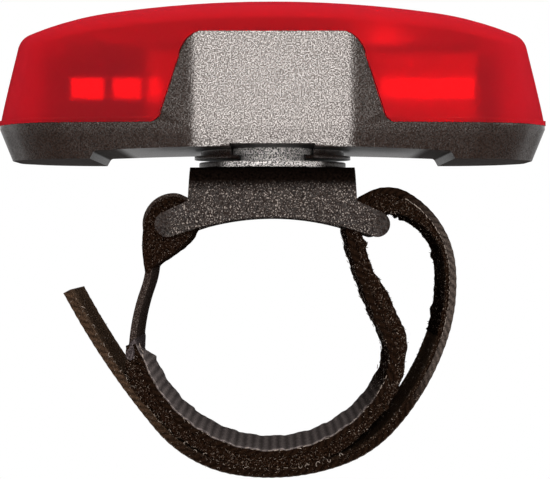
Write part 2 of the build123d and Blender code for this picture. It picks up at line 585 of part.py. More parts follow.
# Rubber button through the far tab, kept in by a flange
with BuildPart() as power_button:
    with BuildSketch(Plane.XZ.offset(-FLANGE_IN)):
        with Locations((0, BUTTON_Z)):
            Ellipse(BUTTON_HALF + FLANGE_LIP, BUTTON_RISE + FLANGE_LIP)
    extrude(amount=-(FLANGE_OUT - FLANGE_IN))
    with BuildSketch(Plane.XZ.offset(-FLANGE_OUT)):
        with Locations((0, BUTTON_Z)):
            Ellipse(BUTTON_HALF, BUTTON_RISE)
    extrude(amount=-(BUTTON_OUT - FLANGE_OUT))
    fillet(power_button.faces().sort_by(Axis.Y)[-1].edges(), 0.5)
finish(power_button.part, "power_button")
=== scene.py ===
"""Looks of a strap-mounted red rear light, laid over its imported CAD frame.

Metres, unless a comment or docstring says millimetres. X runs along the light, Y away from the
viewer, Z up. The origin is the centre of the tube that the strap loop clasps.
"""

from __future__ import annotations

import logging
import math
from dataclasses import dataclass, replace
from enum import Enum
from typing import Callable

import bpy
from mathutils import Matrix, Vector, noise

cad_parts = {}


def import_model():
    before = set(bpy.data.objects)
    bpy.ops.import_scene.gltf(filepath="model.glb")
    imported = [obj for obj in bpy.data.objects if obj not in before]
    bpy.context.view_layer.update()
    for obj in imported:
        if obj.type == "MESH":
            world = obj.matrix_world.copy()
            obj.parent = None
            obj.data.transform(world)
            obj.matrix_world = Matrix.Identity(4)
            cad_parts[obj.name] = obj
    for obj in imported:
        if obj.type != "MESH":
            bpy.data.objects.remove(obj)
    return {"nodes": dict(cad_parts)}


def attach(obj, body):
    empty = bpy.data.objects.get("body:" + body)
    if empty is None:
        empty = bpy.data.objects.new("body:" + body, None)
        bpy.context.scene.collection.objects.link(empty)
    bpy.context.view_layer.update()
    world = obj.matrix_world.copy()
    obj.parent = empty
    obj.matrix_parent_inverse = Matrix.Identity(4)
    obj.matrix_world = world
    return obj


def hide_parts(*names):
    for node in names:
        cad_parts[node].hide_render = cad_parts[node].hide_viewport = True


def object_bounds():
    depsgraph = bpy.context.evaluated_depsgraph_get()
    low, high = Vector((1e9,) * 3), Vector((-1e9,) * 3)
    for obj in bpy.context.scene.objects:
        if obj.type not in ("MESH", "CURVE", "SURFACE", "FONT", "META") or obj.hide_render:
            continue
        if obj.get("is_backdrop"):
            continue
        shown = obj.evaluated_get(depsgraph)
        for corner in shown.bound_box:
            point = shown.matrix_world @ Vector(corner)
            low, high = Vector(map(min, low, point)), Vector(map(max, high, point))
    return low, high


Colour = tuple[float, float, float]
Point = tuple[float, float, float]
Arcs = tuple[tuple[float, float], ...]
Pieces = dict[str, bpy.types.Object]

LOG = logging.getLogger("rear_light")
MM = 0.001
WHITE = (1.0, 1.0, 1.0, 1.0)

# Camera, floor and world
CAMERA_PLACE = (0.000313, -0.280, 0.011363)
CAMERA_LENS, CAMERA_SENSOR, CAMERA_CLIP = 146.34, 36.0, 0.01
FLOOR_SIZE, FLOOR_Z, FLOOR_COLOUR = 4.0, -0.06, (0.75, 0.75, 0.75)
WORLD_STRENGTH = 0.30
LAMP_AIM = (0.0, 0.0, 0.015)

# Layers of the strap, in millimetres
STRAP_HALF = 10.0
WEB, HOOK_PILE = 0.8, 0.4
LOOP_PILE, LOW_PILE = 1.15, 0.6
ANCHOR = 0.4
PILE_ROOT, HOOK_ROOT = WEB - 0.05, WEB - 0.03
SEAM_RUNS = (1.6, 4.0)

# Courses of the strap, as radius in millimetres and turn in degrees, left turns positive
STRAP_START, STRAP_HEADING = (-16.05, -1.15), -78.0
TONGUE = ((16.5, 20.0),)
INNER_LAP = ((16.5, 45.0), (16.0, 49.0), (15.0, 49.0), (5.5, 52.0), (57.0, -13.0), (5.0, -134.0))
OUTER_LOOP = ((11.5, -55.0), (22.0, -23.0))
OUTER_LAP = ((30.5, -24.0), (15.5, -28.0), (26.0, -29.0), (16.0, -41.0), (95.0, -12.0))
TAIL_END = (95.0, -10.5)

# Outlines of soft fillings in the XZ plane, in millimetres
EYE_FILL = (
    (-9.4, 15.2), (-10.7, 16.4), (-12.2, 16.8), (-13.9, 16.15), (-15.15, 14.75), (-15.8, 12.9),
    (-15.85, 10.6), (-15.65, 8.6), (-15.45, 7.2), (-14.95, 7.1), (-14.46, 8.05), (-13.83, 8.55),
    (-12.56, 9.3), (-11.28, 10.2), (-10.19, 11.3), (-9.5, 12.6), (-9.3, 13.6),
)
SEAM_FOLD = (
    (-16.45, -0.3), (-17.15, -0.95), (-17.78, -1.95), (-17.88, -2.8), (-17.65, -3.55),
    (-16.75, -3.5), (-16.3, -2.15),
)

# Places on the casing, in millimetres
TAB_HALF = 9.3
RECESS_LEVEL, RECESS_HALF, RECESS_BLUR = 20.6, 18.2, 0.15

# Ranges of a noise value and of a normal's Z part, and how many times finer two noises are
GRAIN_RANGE, GLOSS_RANGE, GLINT_RANGE, GLINT_SHIFT = (0.3, 0.7), (0.36, 0.64), (0.64, 0.82), 0.3
UPRIGHT_RANGE, DOWNWARD_RANGE = (0.95, 0.8), (-0.25, -0.8)
GLOSS_FINENESS, GLINT_FINENESS = 1.1, 1.4

# Gloss and colour of plastic by place, as shares of what they are elsewhere; the first two are
# painted shade, on the bracket's top and on the casing's lower flanks
PAINTED_SHADE_COLOUR, FLANK_GLOSS = 0.35, 0.55
UNDERSIDE_GLOSS, RECESS_GLOSS = 0.1, 1.8
UNDERSIDE_ROUGHNESS, RECESS_ROUGHNESS = 0.72, 0.45
SPECULAR_TINT = (1.0, 0.925, 0.877, 1.0)

# Weave of the strap's backing, in millimetres, and how its colour swings
RIB_PITCH, RIB_RELIEF = 1.05, 0.06
RIB_SHADES = (0.6, 1.3)

# Linear colours along the strap; the last two are painted light on the hook pile's face, which lies
# in shade
INNER_FACE = (0.190, 0.158, 0.150)
DARK_EDGE = (0.0095, 0.0048, 0.0028)
LOOP_EDGE = (0.056, 0.043, 0.036)
TAIL_BROWN = (0.040, 0.023, 0.0140)
PAINTED_LIGHT_TAIL_FACE = (0.16, 0.10, 0.065)
PAINTED_LIGHT_HOOK_FACE = (0.050, 0.030, 0.019)

# Rounding of the CAD nodes' edges
SHARP_ANGLE = math.radians(32.0)
WELD_DISTANCE = 0.002 * MM
BEVEL_SEGMENTS, FLAT_WEIGHT = 3, 100

# Fibres
FIBRE_SEGMENTS, FIBRE_SIDES = 5, 3
GROWTH_SIZES, SELVEDGE_SIZES = (0.55, 1.25), (0.35, 1.2)
BARE_END = 0.6  # length at each end of a layer without fibres, in millimetres


class Slot(str, Enum):
    """Material slots of the record that the scene paints."""

    BLACK_PLASTIC = "black_plastic"
    LENS_RED = "lens_red"
    TRAY_PLASTIC = "tray_plastic"
    REFLECTOR_RED = "reflector_red"
    WEB_FABRIC = "web_fabric"
    PILE_FABRIC = "pile_fabric"
    THREAD = "thread"
    STEEL = "steel"
    BRASS_PLATE = "brass_plate"
    CELL_WRAP = "cell_wrap"
    BOARD = "board"
    LED_BODY = "led_body"
    SOFT_RUBBER = "soft_rubber"


SLOT_NODES: dict[Slot, tuple[str, ...]] = {
    Slot.BLACK_PLASTIC: ("rear_casing", "strap_bracket", "turntable", "tactile_switch"),
    Slot.LENS_RED: ("lens",),
    Slot.TRAY_PLASTIC: ("battery_tray",),
    Slot.REFLECTOR_RED: ("side_reflectors",),
    Slot.WEB_FABRIC: ("strap_web", "anchor_web"),
    Slot.PILE_FABRIC: ("loop_pile", "hook_pile"),
    Slot.THREAD: ("seam_stitches",),
    Slot.STEEL: (
        "spring_1", "spring_2", "board_screws", "pivot_screw", "pivot_washer", "wave_washer",
    ),
    Slot.BRASS_PLATE: ("positive_contact", "negative_contact", "bridge_contact"),
    Slot.CELL_WRAP: ("cell_1", "cell_2"),
    Slot.BOARD: ("circuit_board",),
    Slot.LED_BODY: ("led_left", "led_centre", "led_right"),
    Slot.SOFT_RUBBER: ("gasket", "power_button"),
}
NODE_SLOTS = {name: slot for slot, names in SLOT_NODES.items() for name in names}


@dataclass(frozen=True)
class Finish:
    """A plain surface: colour, gloss and a fine grain.

    Attributes:
        colour: linear base colour.
        roughness: how blurred its reflections are.
        grain_scale: bumps per metre, about.
        grain_depth: height of the bumps in metres.
        speck: how much the base colour varies from bump to bump.
        metallic: 1 for bare metal.
        specular: strength of the clear reflection.
        glint: linear colour of the palest grains, or None; on the bracket these are painted glints
            and on the turntable a painted highlight.
        glint_share: about how much of the surface they cover.
        painted_shade_top: height in millimetres above which the surface is darker, dull and without
            pale grains, as painted shade, or None.
        glint_half: half the length along X, in millimetres, that has pale grains, or None.
        glint_middle: middle of that length along X, in millimetres.
        glint_upright: True where only upright surfaces have pale grains, as the turntable's painted
            highlight has.
        spark: how much the gloss varies from grain to grain.
        dyed: True where the colour is the mesh's own dye attribute.
        dull_below: True where surfaces that face down are coarser.
        dim_below: height in millimetres under which the flanks beside the tab are darker, through
            lowered gloss as painted shade, or None.
        glow: strength of the light it gives off, a painted glow on the side reflectors and the
            right LED.
    """

    colour: Colour
    roughness: float
    grain_scale: float
    grain_depth: float
    speck: float
    metallic: float = 0.0
    specular: float = 0.5
    glint: Colour | None = None
    glint_share: float = 0.0
    painted_shade_top: float | None = None
    glint_half: float | None = None
    glint_middle: float = 0.0
    glint_upright: bool = False
    spark: float = 0.0
    dyed: bool = False
    dull_below: bool = False
    dim_below: float | None = None
    glow: float = 0.0


FINISHES: dict[Slot, Finish] = {
    # Below 24.3 mm the casing's flanks beside the tab get lowered gloss, as painted shade.
    Slot.BLACK_PLASTIC: Finish(
        (0.013, 0.0066, 0.0046), 0.25, 5400, 2.2e-5, 0.7,
        specular=0.30, spark=0.6, dull_below=True, dim_below=24.3,
    ),
    Slot.TRAY_PLASTIC: Finish(
        (0.010, 0.008, 0.008), 0.6, 2500, 6e-6, 0.3, specular=0.05,
        glint=(0.60, 0.50, 0.48), glint_share=2.5, glint_half=19.85, glint_middle=4.85,
    ),
    # The side reflectors give off a painted glow.
    Slot.REFLECTOR_RED: Finish((0.95, 0.10, 0.09), 0.4, 1800, 5e-6, 0.05, specular=0.2, glow=0.75),
    Slot.WEB_FABRIC: Finish((0.155, 0.137, 0.131), 0.95, 6000, 3e-5, 0.6, specular=0.0),
    Slot.PILE_FABRIC: Finish(
        (0.0085, 0.0040, 0.0022), 1.0, 4200, 6e-5, 0.9,
        specular=0.0, glint=(0.15, 0.11, 0.085), glint_share=0.08,
    ),
    Slot.THREAD: Finish((0.26, 0.21, 0.175), 0.7, 9000, 8e-6, 0.4, specular=0.2),
    Slot.STEEL: Finish((0.55, 0.55, 0.56), 0.32, 2200, 1.5e-6, 0.08, metallic=1.0),
    Slot.BRASS_PLATE: Finish((0.75, 0.58, 0.28), 0.3, 2200, 1.5e-6, 0.1, metallic=1.0),
    Slot.CELL_WRAP: Finish((0.42, 0.42, 0.44), 0.25, 700, 3e-6, 0.07),
    Slot.BOARD: Finish((0.02, 0.12, 0.04), 0.5, 1600, 6e-6, 0.25),
    Slot.LED_BODY: Finish((0.30, 0.24, 0.22), 0.3, 2600, 2e-6, 0.1, specular=0.3),
    Slot.SOFT_RUBBER: Finish((0.022, 0.020, 0.020), 0.7, 3000, 1e-5, 0.3, specular=0.15),
}
OWN_FINISHES: dict[str, Finish] = {
    # The bracket's pale grains are painted glints. Above 17.7 mm it is darker and dull, as painted
    # shade under the overhanging light housing.
    "strap_bracket": Finish(
        (0.0105, 0.0062, 0.0046), 0.42, 4100, 9e-5, 0.9, specular=0.10, spark=0.5, dull_below=True,
        glint=(0.34, 0.285, 0.25), glint_share=0.22, painted_shade_top=17.7, glint_half=12.3,
    ),
    # The turntable's pale grains, on its upright sides within 5.9 mm of the middle along X, are a
    # painted highlight.
    "turntable": Finish(
        (0.012, 0.009, 0.008), 0.36, 4400, 9e-5, 0.8, specular=0.55, spark=0.5, dull_below=True,
        glint=(0.88, 0.83, 0.80), glint_share=0.78, glint_half=5.9, glint_upright=True,
    ),
    # The right LED alone gives off a painted glow, a bright block behind the lens.
    "led_right": Finish((0.95, 0.30, 0.28), 0.3, 2600, 2e-6, 0.05, specular=0.3, glow=1.7),
    "hook_pile": Finish(
        (0.040, 0.021, 0.012), 0.95, 4200, 6e-5, 0.7,
        specular=0.0, glint=(0.12, 0.085, 0.06), glint_share=0.08,
    ),
    "seam_stitches": Finish((0.030, 0.020, 0.016), 0.8, 9000, 8e-6, 0.4, specular=0.1),
    "anchor_web": Finish(
        (0.024, 0.016, 0.013), 0.95, 5000, 6e-5, 0.9,
        specular=0.0, glint=(0.20, 0.165, 0.145), glint_share=0.15,
    ),
}
# Lighter colours for the rounded edges of the lens and the casing, a painted highlight along them.
EDGE_HIGHLIGHT_FINISHES: dict[str, Finish] = {
    "lens": Finish((0.72, 0.055, 0.06), 0.35, 3000, 2e-6, 0.1),
    "rear_casing": Finish((0.060, 0.050, 0.045), 0.35, 5400, 2e-5, 0.8, specular=0.4),
}
FOLD_FINISH = Finish(
    (0.050, 0.039, 0.039), 0.95, 5000, 6e-5, 0.9,
    specular=0.0, glint=(0.20, 0.17, 0.16), glint_share=0.12,
)


def fade(value: float, low: float, high: float) -> float:
    """Goes smoothly from 0 to 1.

    Args:
        value: where it is read.
        low: where it leaves 0.
        high: where it reaches 1.

    Returns:
        The share.
    """
    share = min(1.0, max(0.0, (value - low) / (high - low)))
    return share * share * (3.0 - 2.0 * share)


def mixed(one: Colour, other: Colour, share: float) -> Colour:
    """Blends two colours.

    Args:
        one: the colour at share 0.
        other: the colour at share 1.
        share: how much of the other there is.

    Returns:
        The blend.
    """
    return tuple(a + (b - a) * share for a, b in zip(one, other))


def wander(x: float, y: float, seed: float) -> float:
    """Gives smooth noise between about -1 and 1.

    Args:
        x: first coordinate, one cell per unit.
        y: second coordinate.
        seed: which noise field to read.

    Returns:
        The noise value.
    """
    return noise.noise(Vector((x, y, seed)))


@dataclass(frozen=True)
class Field:
    """Smooth noise over a layer of the strap.

    Attributes:
        along: noise cells for each unit along it.
        across: noise cells for each unit across it.
        seed: which noise field it reads.
        height: its greatest value, about.
    """

    along: float
    across: float
    seed: float
    height: float = 1.0

    def at(self, along: float, across: float) -> float:
        """Gives its value at a place."""
        return self.height * wander(along * self.along, across * self.across, self.seed)


@dataclass(frozen=True)
class Swell:
    """Something that rises along a run, stays and falls again.

    Attributes:
        height: how much of it there is where it stays.
        rise: the run where it begins.
        full: the run where it is whole.
        fall: the run where it begins to fall.
        gone: the run where it has ended.
    """

    height: float
    rise: float
    full: float
    fall: float
    gone: float

    def at(self, run: float) -> float:
        """Gives how much of it there is at a run."""
        risen = self.height * fade(run, self.rise, self.full)
        return risen * (1.0 - fade(run, self.fall, self.gone))


@dataclass(frozen=True)
class Station:
    """One place along a course, in millimetres.

    Attributes:
        x: place along X.
        z: place along Z.
        side_x: X part of the unit vector to the right of the course.
        side_z: Z part of it.
        run: distance along the course.
    """

    x: float
    z: float
    side_x: float
    side_z: float
    run: float

    def at(self, depth: float, y: float) -> Point:
        """Gives the point, in metres, at a depth and a Y in millimetres."""
        x, z = self.x + self.side_x * depth, self.z + self.side_z * depth
        return (x * MM, y * MM, z * MM)


@dataclass(frozen=True)
class Course:
    """A chain of tangent arcs in the XZ plane, which a strap layer follows.

    Attributes:
        stretches: radius in millimetres and turn in degrees of each arc, left turns positive.
        start: where it begins, in millimetres.
        heading: its direction there, in degrees.
    """

    stretches: Arcs
    start: tuple[float, float] = STRAP_START
    heading: float = STRAP_HEADING

    def stations(self, step: float) -> list[Station]:
        """Walks along the course.

        Args:
            step: the longest distance between two stations, in millimetres.

        Returns:
            The stations from start to end.
        """
        x, z = self.start
        angle = math.radians(self.heading)
        found = [Station(x, z, math.sin(angle), -math.cos(angle), 0.0)]
        run = 0.0
        for radius, turn in self.stretches:
            sign = math.copysign(1.0, turn)
            middle_x = x - sign * radius * math.sin(angle)
            middle_z = z + sign * radius * math.cos(angle)
            length = radius * math.radians(abs(turn))
            count = max(1, math.ceil(length / step))
            for index in range(1, count + 1):
                here = angle + math.radians(turn) * index / count
                x = middle_x + sign * radius * math.sin(here)
                z = middle_z - sign * radius * math.cos(here)
                reached = run + length * index / count
                found.append(Station(x, z, math.sin(here), -math.cos(here), reached))
            angle += math.radians(turn)
            run += length
        return found

    @property
    def length(self) -> float:
        """Its whole length in millimetres."""
        return sum(radius * math.radians(abs(turn)) for radius, turn in self.stretches)

    def after(self, stretches: Arcs) -> Course:
        """Starts another course where this one ends.

        Args:
            stretches: the arcs of the new course.

        Returns:
            The new course.
        """
        last = self.stations(1.0)[-1]
        heading = self.heading + sum(turn for _, turn in self.stretches)
        return Course(stretches, (last.x, last.z), heading)


def bare(name: str, data: bpy.types.ID) -> bpy.types.Object:
    """Adds an object for a mesh, a lamp or a camera.

    Args:
        name: the object's name.
        data: what it holds, a mesh in the row frame.

    Returns:
        The object.
    """
    made = bpy.data.objects.new(name, data)
    bpy.context.collection.objects.link(made)
    return made


def settled(source: bpy.types.Object, name: str) -> bpy.types.Object:
    """Turns an object with live modifiers into a plain mesh object.

    Args:
        source: the object, which is removed.
        name: the name of the plain one.

    Returns:
        The plain object.
    """
    bpy.context.view_layer.update()
    shown = source.evaluated_get(bpy.context.evaluated_depsgraph_get())
    mesh = bpy.data.meshes.new_from_object(shown)
    mesh.name = name
    bpy.data.objects.remove(source)
    return bare(name, mesh)


def lofted(name: str, points: list[Point], count: int) -> bpy.types.Mesh:
    """Makes a closed mesh through equal rings of points.

    Args:
        name: the mesh's name.
        points: the points of all the rings, one ring after another.
        count: points in each ring.

    Returns:
        The mesh, with a flat face at each end.
    """
    faces = []
    for low in range(0, len(points) - count, count):
        high = low + count
        for column in range(count):
            after = (column + 1) % count
            faces.append((low + column, low + after, high + after, high + column))
    faces.append(tuple(reversed(range(count))))
    faces.append(tuple(range(len(points) - count, len(points))))
    mesh = bpy.data.meshes.new(name)
    mesh.from_pydata(points, [], faces)
    return mesh


def store(mesh: bpy.types.Mesh, name: str, values: list[float]) -> None:
    """Stores one number for each point of a mesh.

    Args:
        mesh: the mesh.
        name: the attribute's name.
        values: the numbers, in the order of the points.
    """
    layer = mesh.attributes.new(name, "FLOAT", "POINT")
    layer.data.foreach_set("value", values)


@dataclass(frozen=True)
class Ribbon:
    """A flat layer of the strap along a course.

    Attributes:
        name: the piece's name.
        course: the course it follows.
        half: half its width in millimetres.
        upper: depth of its upper face at a run and a share across, in millimetres.
        lower: depth of its lower face there.
        bulge: how far its edge stands out at a run and a share of the depth, in millimetres.
        step: distance between its stations in millimetres.
        columns: points across each face.
        rows: points down each edge, without the corners.
        slant: how far the run shifts down an edge in the UV map, in millimetres.
        depth_span: how far the way round goes down an edge in the UV map, in millimetres.
        face_fuzz: how thickly fibres stand on the lower face, against 1 on the edges.
        edge_fuzz: how thickly they stand on its edges at a run.
        upper_fuzz: how thickly they stand on its upper face at a run.
        dye: its linear colour at a run, a share across and a share of the depth, or None.
        reach: how much of its width is there at a run, from the near edge.
    """

    name: str
    course: Course
    half: float
    upper: Callable[[float, float], float]
    lower: Callable[[float, float], float]
    bulge: Callable[[float, float], float]
    step: float = 0.14
    columns: int = 22
    rows: int = 4
    slant: float = 0.0
    depth_span: float = 2.0
    face_fuzz: float = 0.0
    edge_fuzz: Callable[[float], float] = lambda run: 1.0
    upper_fuzz: Callable[[float], float] = lambda run: 0.0
    dye: Callable[[float, float, float], Colour] | None = None
    reach: Callable[[float], float] = lambda run: 1.0

    def ring(self) -> list[tuple[float, float]]:
        """Lists the points round its section.

        Returns:
            Share across, from -1 at the near edge to 1, and share of the depth of each point.
        """
        spread = [-1.0 + 2.0 * i / (self.columns - 1) for i in range(self.columns)]
        down = [(i + 1) / (self.rows + 1) for i in range(self.rows)]
        return (
            [(across, 0.0) for across in spread]
            + [(1.0, share) for share in down]
            + [(across, 1.0) for across in reversed(spread)]
            + [(-1.0, share) for share in reversed(down)]
        )

    def point(self, station: Station, across: float, share: float) -> Point:
        """Gives a point of its surface.

        Args:
            station: the place along the course.
            across: share across, from -1 at the near edge to 1.
            share: share of the depth.

        Returns:
            The point in metres.
        """
        upper = self.upper(station.run, across)
        depth = upper + (self.lower(station.run, across) - upper) * share
        out = self.bulge(station.run, share) if abs(across) == 1.0 else 0.0
        reached = ((across + 1.0) * self.reach(station.run) - 1.0) * self.half
        return station.at(depth, reached + across * out)

    def fuzz(self, run: float, across: float, share: float) -> float:
        """Gives how thickly fibres stand at a place of its surface.

        Args:
            run: the run there.
            across: share across, from -1 at the near edge to 1.
            share: share of the depth.

        Returns:
            The thickness, about 1 at most.
        """
        if not BARE_END < run < self.course.length - BARE_END:
            return 0.0
        if share == 0.0:
            return self.upper_fuzz(run)
        return self.edge_fuzz(run) if abs(across) == 1.0 else self.face_fuzz

    def build(self) -> bpy.types.Object:
        """Makes the ribbon's mesh, with its run and its way round in a UV map.

        Returns:
            The object, in the row frame.
        """
        ring = self.ring()
        spots = [(place, *spot) for place in self.course.stations(self.step) for spot in ring]
        mesh = lofted(self.name, [self.point(*spot) for spot in spots], len(ring))
        layer = mesh.uv_layers.new(name="course")
        for loop in mesh.loops:
            place, across, share = spots[loop.vertex_index]
            around = across * self.half + share * self.depth_span
            layer.data[loop.index].uv = (place.run + self.slant * share, around)
        store(mesh, "fuzz", [self.fuzz(place.run, *spot) for place, *spot in spots])
        if self.dye:
            colours = [(*self.dye(place.run, *spot), 1.0) for place, *spot in spots]
            dyes = mesh.attributes.new("dye", "FLOAT_COLOR", "POINT")
            dyes.data.foreach_set("color", [part for colour in colours for part in colour])
        mesh.shade_smooth()
        return bare(self.name, mesh)


@dataclass(frozen=True)
class Bolster:
    """A soft filled shape drawn in the XZ plane and as long as the strap is wide.

    Attributes:
        name: the piece's name.
        outline: its outline, in millimetres.
        half: half its length along Y in millimetres.
        rounding: how far its ends round in, in millimetres.
        first_rounding: share of that at its ends' second ring.
        rings: rings on each side of its middle ring.
        lumps: how far its surface swells, in millimetres.
        lump_scale: swellings for each millimetre of its section, about.
        lump_drift: how fast they change along Y.
        lump_field: X shift and seed of their noise field.
    """

    name: str
    outline: tuple[tuple[float, float], ...]
    half: float
    rounding: float = 0.35
    first_rounding: float = 0.3
    rings: int = 8
    lumps: float = 0.12
    lump_scale: float = 1.3
    lump_drift: float = 0.4
    lump_field: tuple[float, float] = (7.0, 31.0)

    def smooth(self) -> list[tuple[float, float]]:
        """Rounds the outline by cutting its corners three times.

        Returns:
            The points of the rounded outline.
        """
        ring = list(self.outline)
        for _ in range(3):
            cut = []
            for index, (x, z) in enumerate(ring):
                next_x, next_z = ring[(index + 1) % len(ring)]
                cut.append((0.75 * x + 0.25 * next_x, 0.75 * z + 0.25 * next_z))
                cut.append((0.25 * x + 0.75 * next_x, 0.25 * z + 0.75 * next_z))
            ring = cut
        return ring

    def build(self) -> bpy.types.Object:
        """Makes its mesh, with fibres allowed on its two ends.

        Returns:
            The object, in the row frame.
        """
        ring = self.smooth()
        count = len(ring)
        middle_x = sum(x for x, _ in ring) / count
        middle_z = sum(z for _, z in ring) / count
        first = self.first_rounding * self.rounding
        ends = [(-self.half, self.rounding), (-self.half + first, first)]
        between = range(-self.rings, self.rings + 1)
        places = [*ends, *((y * self.half / (self.rings + 1.0), 0.0) for y in between)]
        places += [(-y, inset) for y, inset in reversed(ends)]
        shift, seed = self.lump_field
        points = []
        for y, inset in places:
            for x, z in ring:
                out = Vector((x - middle_x, z - middle_z))
                scaled = (x * self.lump_scale + shift, z * self.lump_scale)
                lump = wander(*scaled, seed + self.lump_drift * y)
                moved = out * (1.0 + (self.lumps * lump - inset) / max(out.length, 0.2))
                points.append(((middle_x + moved.x) * MM, y * MM, (middle_z + moved.y) * MM))
        mesh = lofted(self.name, points, count)
        body = range(2 * count, len(points) - 2 * count)
        store(mesh, "fuzz", [0.0 if index in body else 1.0 for index in range(len(points))])
        mesh.shade_smooth()
        return bare(self.name, mesh)


def fibre(name: str, radius: float, turn: float, thickness: float) -> bpy.types.Object:
    """Makes a short bent fibre that stands up from the origin.

    Args:
        name: its name.
        radius: radius of its bend in millimetres.
        turn: how far it bends in degrees.
        thickness: its own radius in millimetres.

    Returns:
        The object.
    """
    points = []
    for index in range(FIBRE_SEGMENTS + 1):
        angle = math.radians(turn) * index / FIBRE_SEGMENTS
        middle = Vector((radius * (1.0 - math.cos(angle)), 0.0, radius * math.sin(angle)))
        out = Vector((math.cos(angle), 0.0, -math.sin(angle)))
        for side in range(FIBRE_SIDES):
            around = 2.0 * math.pi * side / FIBRE_SIDES
            offset = out * math.cos(around) + Vector((0.0, 1.0, 0.0)) * math.sin(around)
            points.append(tuple((middle + offset * thickness) * MM))
    return bare(name, lofted(name, points, FIBRE_SIDES))


Value = float | str | tuple[float, ...] | bpy.types.NodeSocket


class Nodes:
    """A node tree and what adds to it."""

    def __init__(self, tree: bpy.types.NodeTree) -> None:
        """Keeps the tree."""
        self.tree = tree

    def fill(self, node: bpy.types.Node, inputs: dict[str | int, Value]) -> None:
        """Sets or links a node's inputs.

        Args:
            node: the node.
            inputs: a value or an output socket for each input, by its name or place.
        """
        for key, value in inputs.items():
            if isinstance(value, bpy.types.NodeSocket):
                self.tree.links.new(value, node.inputs[key])
            else:
                node.inputs[key].default_value = value

    def add(
        self, kind: str, inputs: dict[str | int, Value] | None = None, **settings: object
    ) -> bpy.types.Node:
        """Adds a node.

        Args:
            kind: the node's type name.
            inputs: a value or an output socket for each input, by its name or place.
            **settings: properties to set on it first.

        Returns:
            The new node.
        """
        made = self.tree.nodes.new(kind)
        for key, value in settings.items():
            setattr(made, key, value)
        self.fill(made, inputs or {})
        return made

    def calculate(self, operation: str, *values: Value, **settings: object) -> bpy.types.NodeSocket:
        """Adds a Math node for an operation on values and gives its result."""
        inputs = dict(enumerate(values))
        return self.add("ShaderNodeMath", inputs, operation=operation, **settings).outputs[0]

    def blended(
        self, share: Value, first: bpy.types.NodeSocket, second: bpy.types.NodeSocket
    ) -> bpy.types.NodeSocket:
        """Mixes two shaders, with as much of the second as the share says."""
        inputs = {"Fac": share, 1: first, 2: second}
        return self.add("ShaderNodeMixShader", inputs).outputs["Shader"]

    def in_sight(self) -> bpy.types.NodeSocket:
        """Gives 1 to what is seen, straight, in gloss or through the lens, and 0 to diffuse light.

        Returns:
            The share socket.
        """
        rays = self.add("ShaderNodeLightPath").outputs
        seen = rays["Is Camera Ray"]
        for kind in ("Is Transmission Ray", "Is Glossy Ray"):
            seen = self.calculate("ADD", seen, rays[kind], use_clamp=True)
        return seen


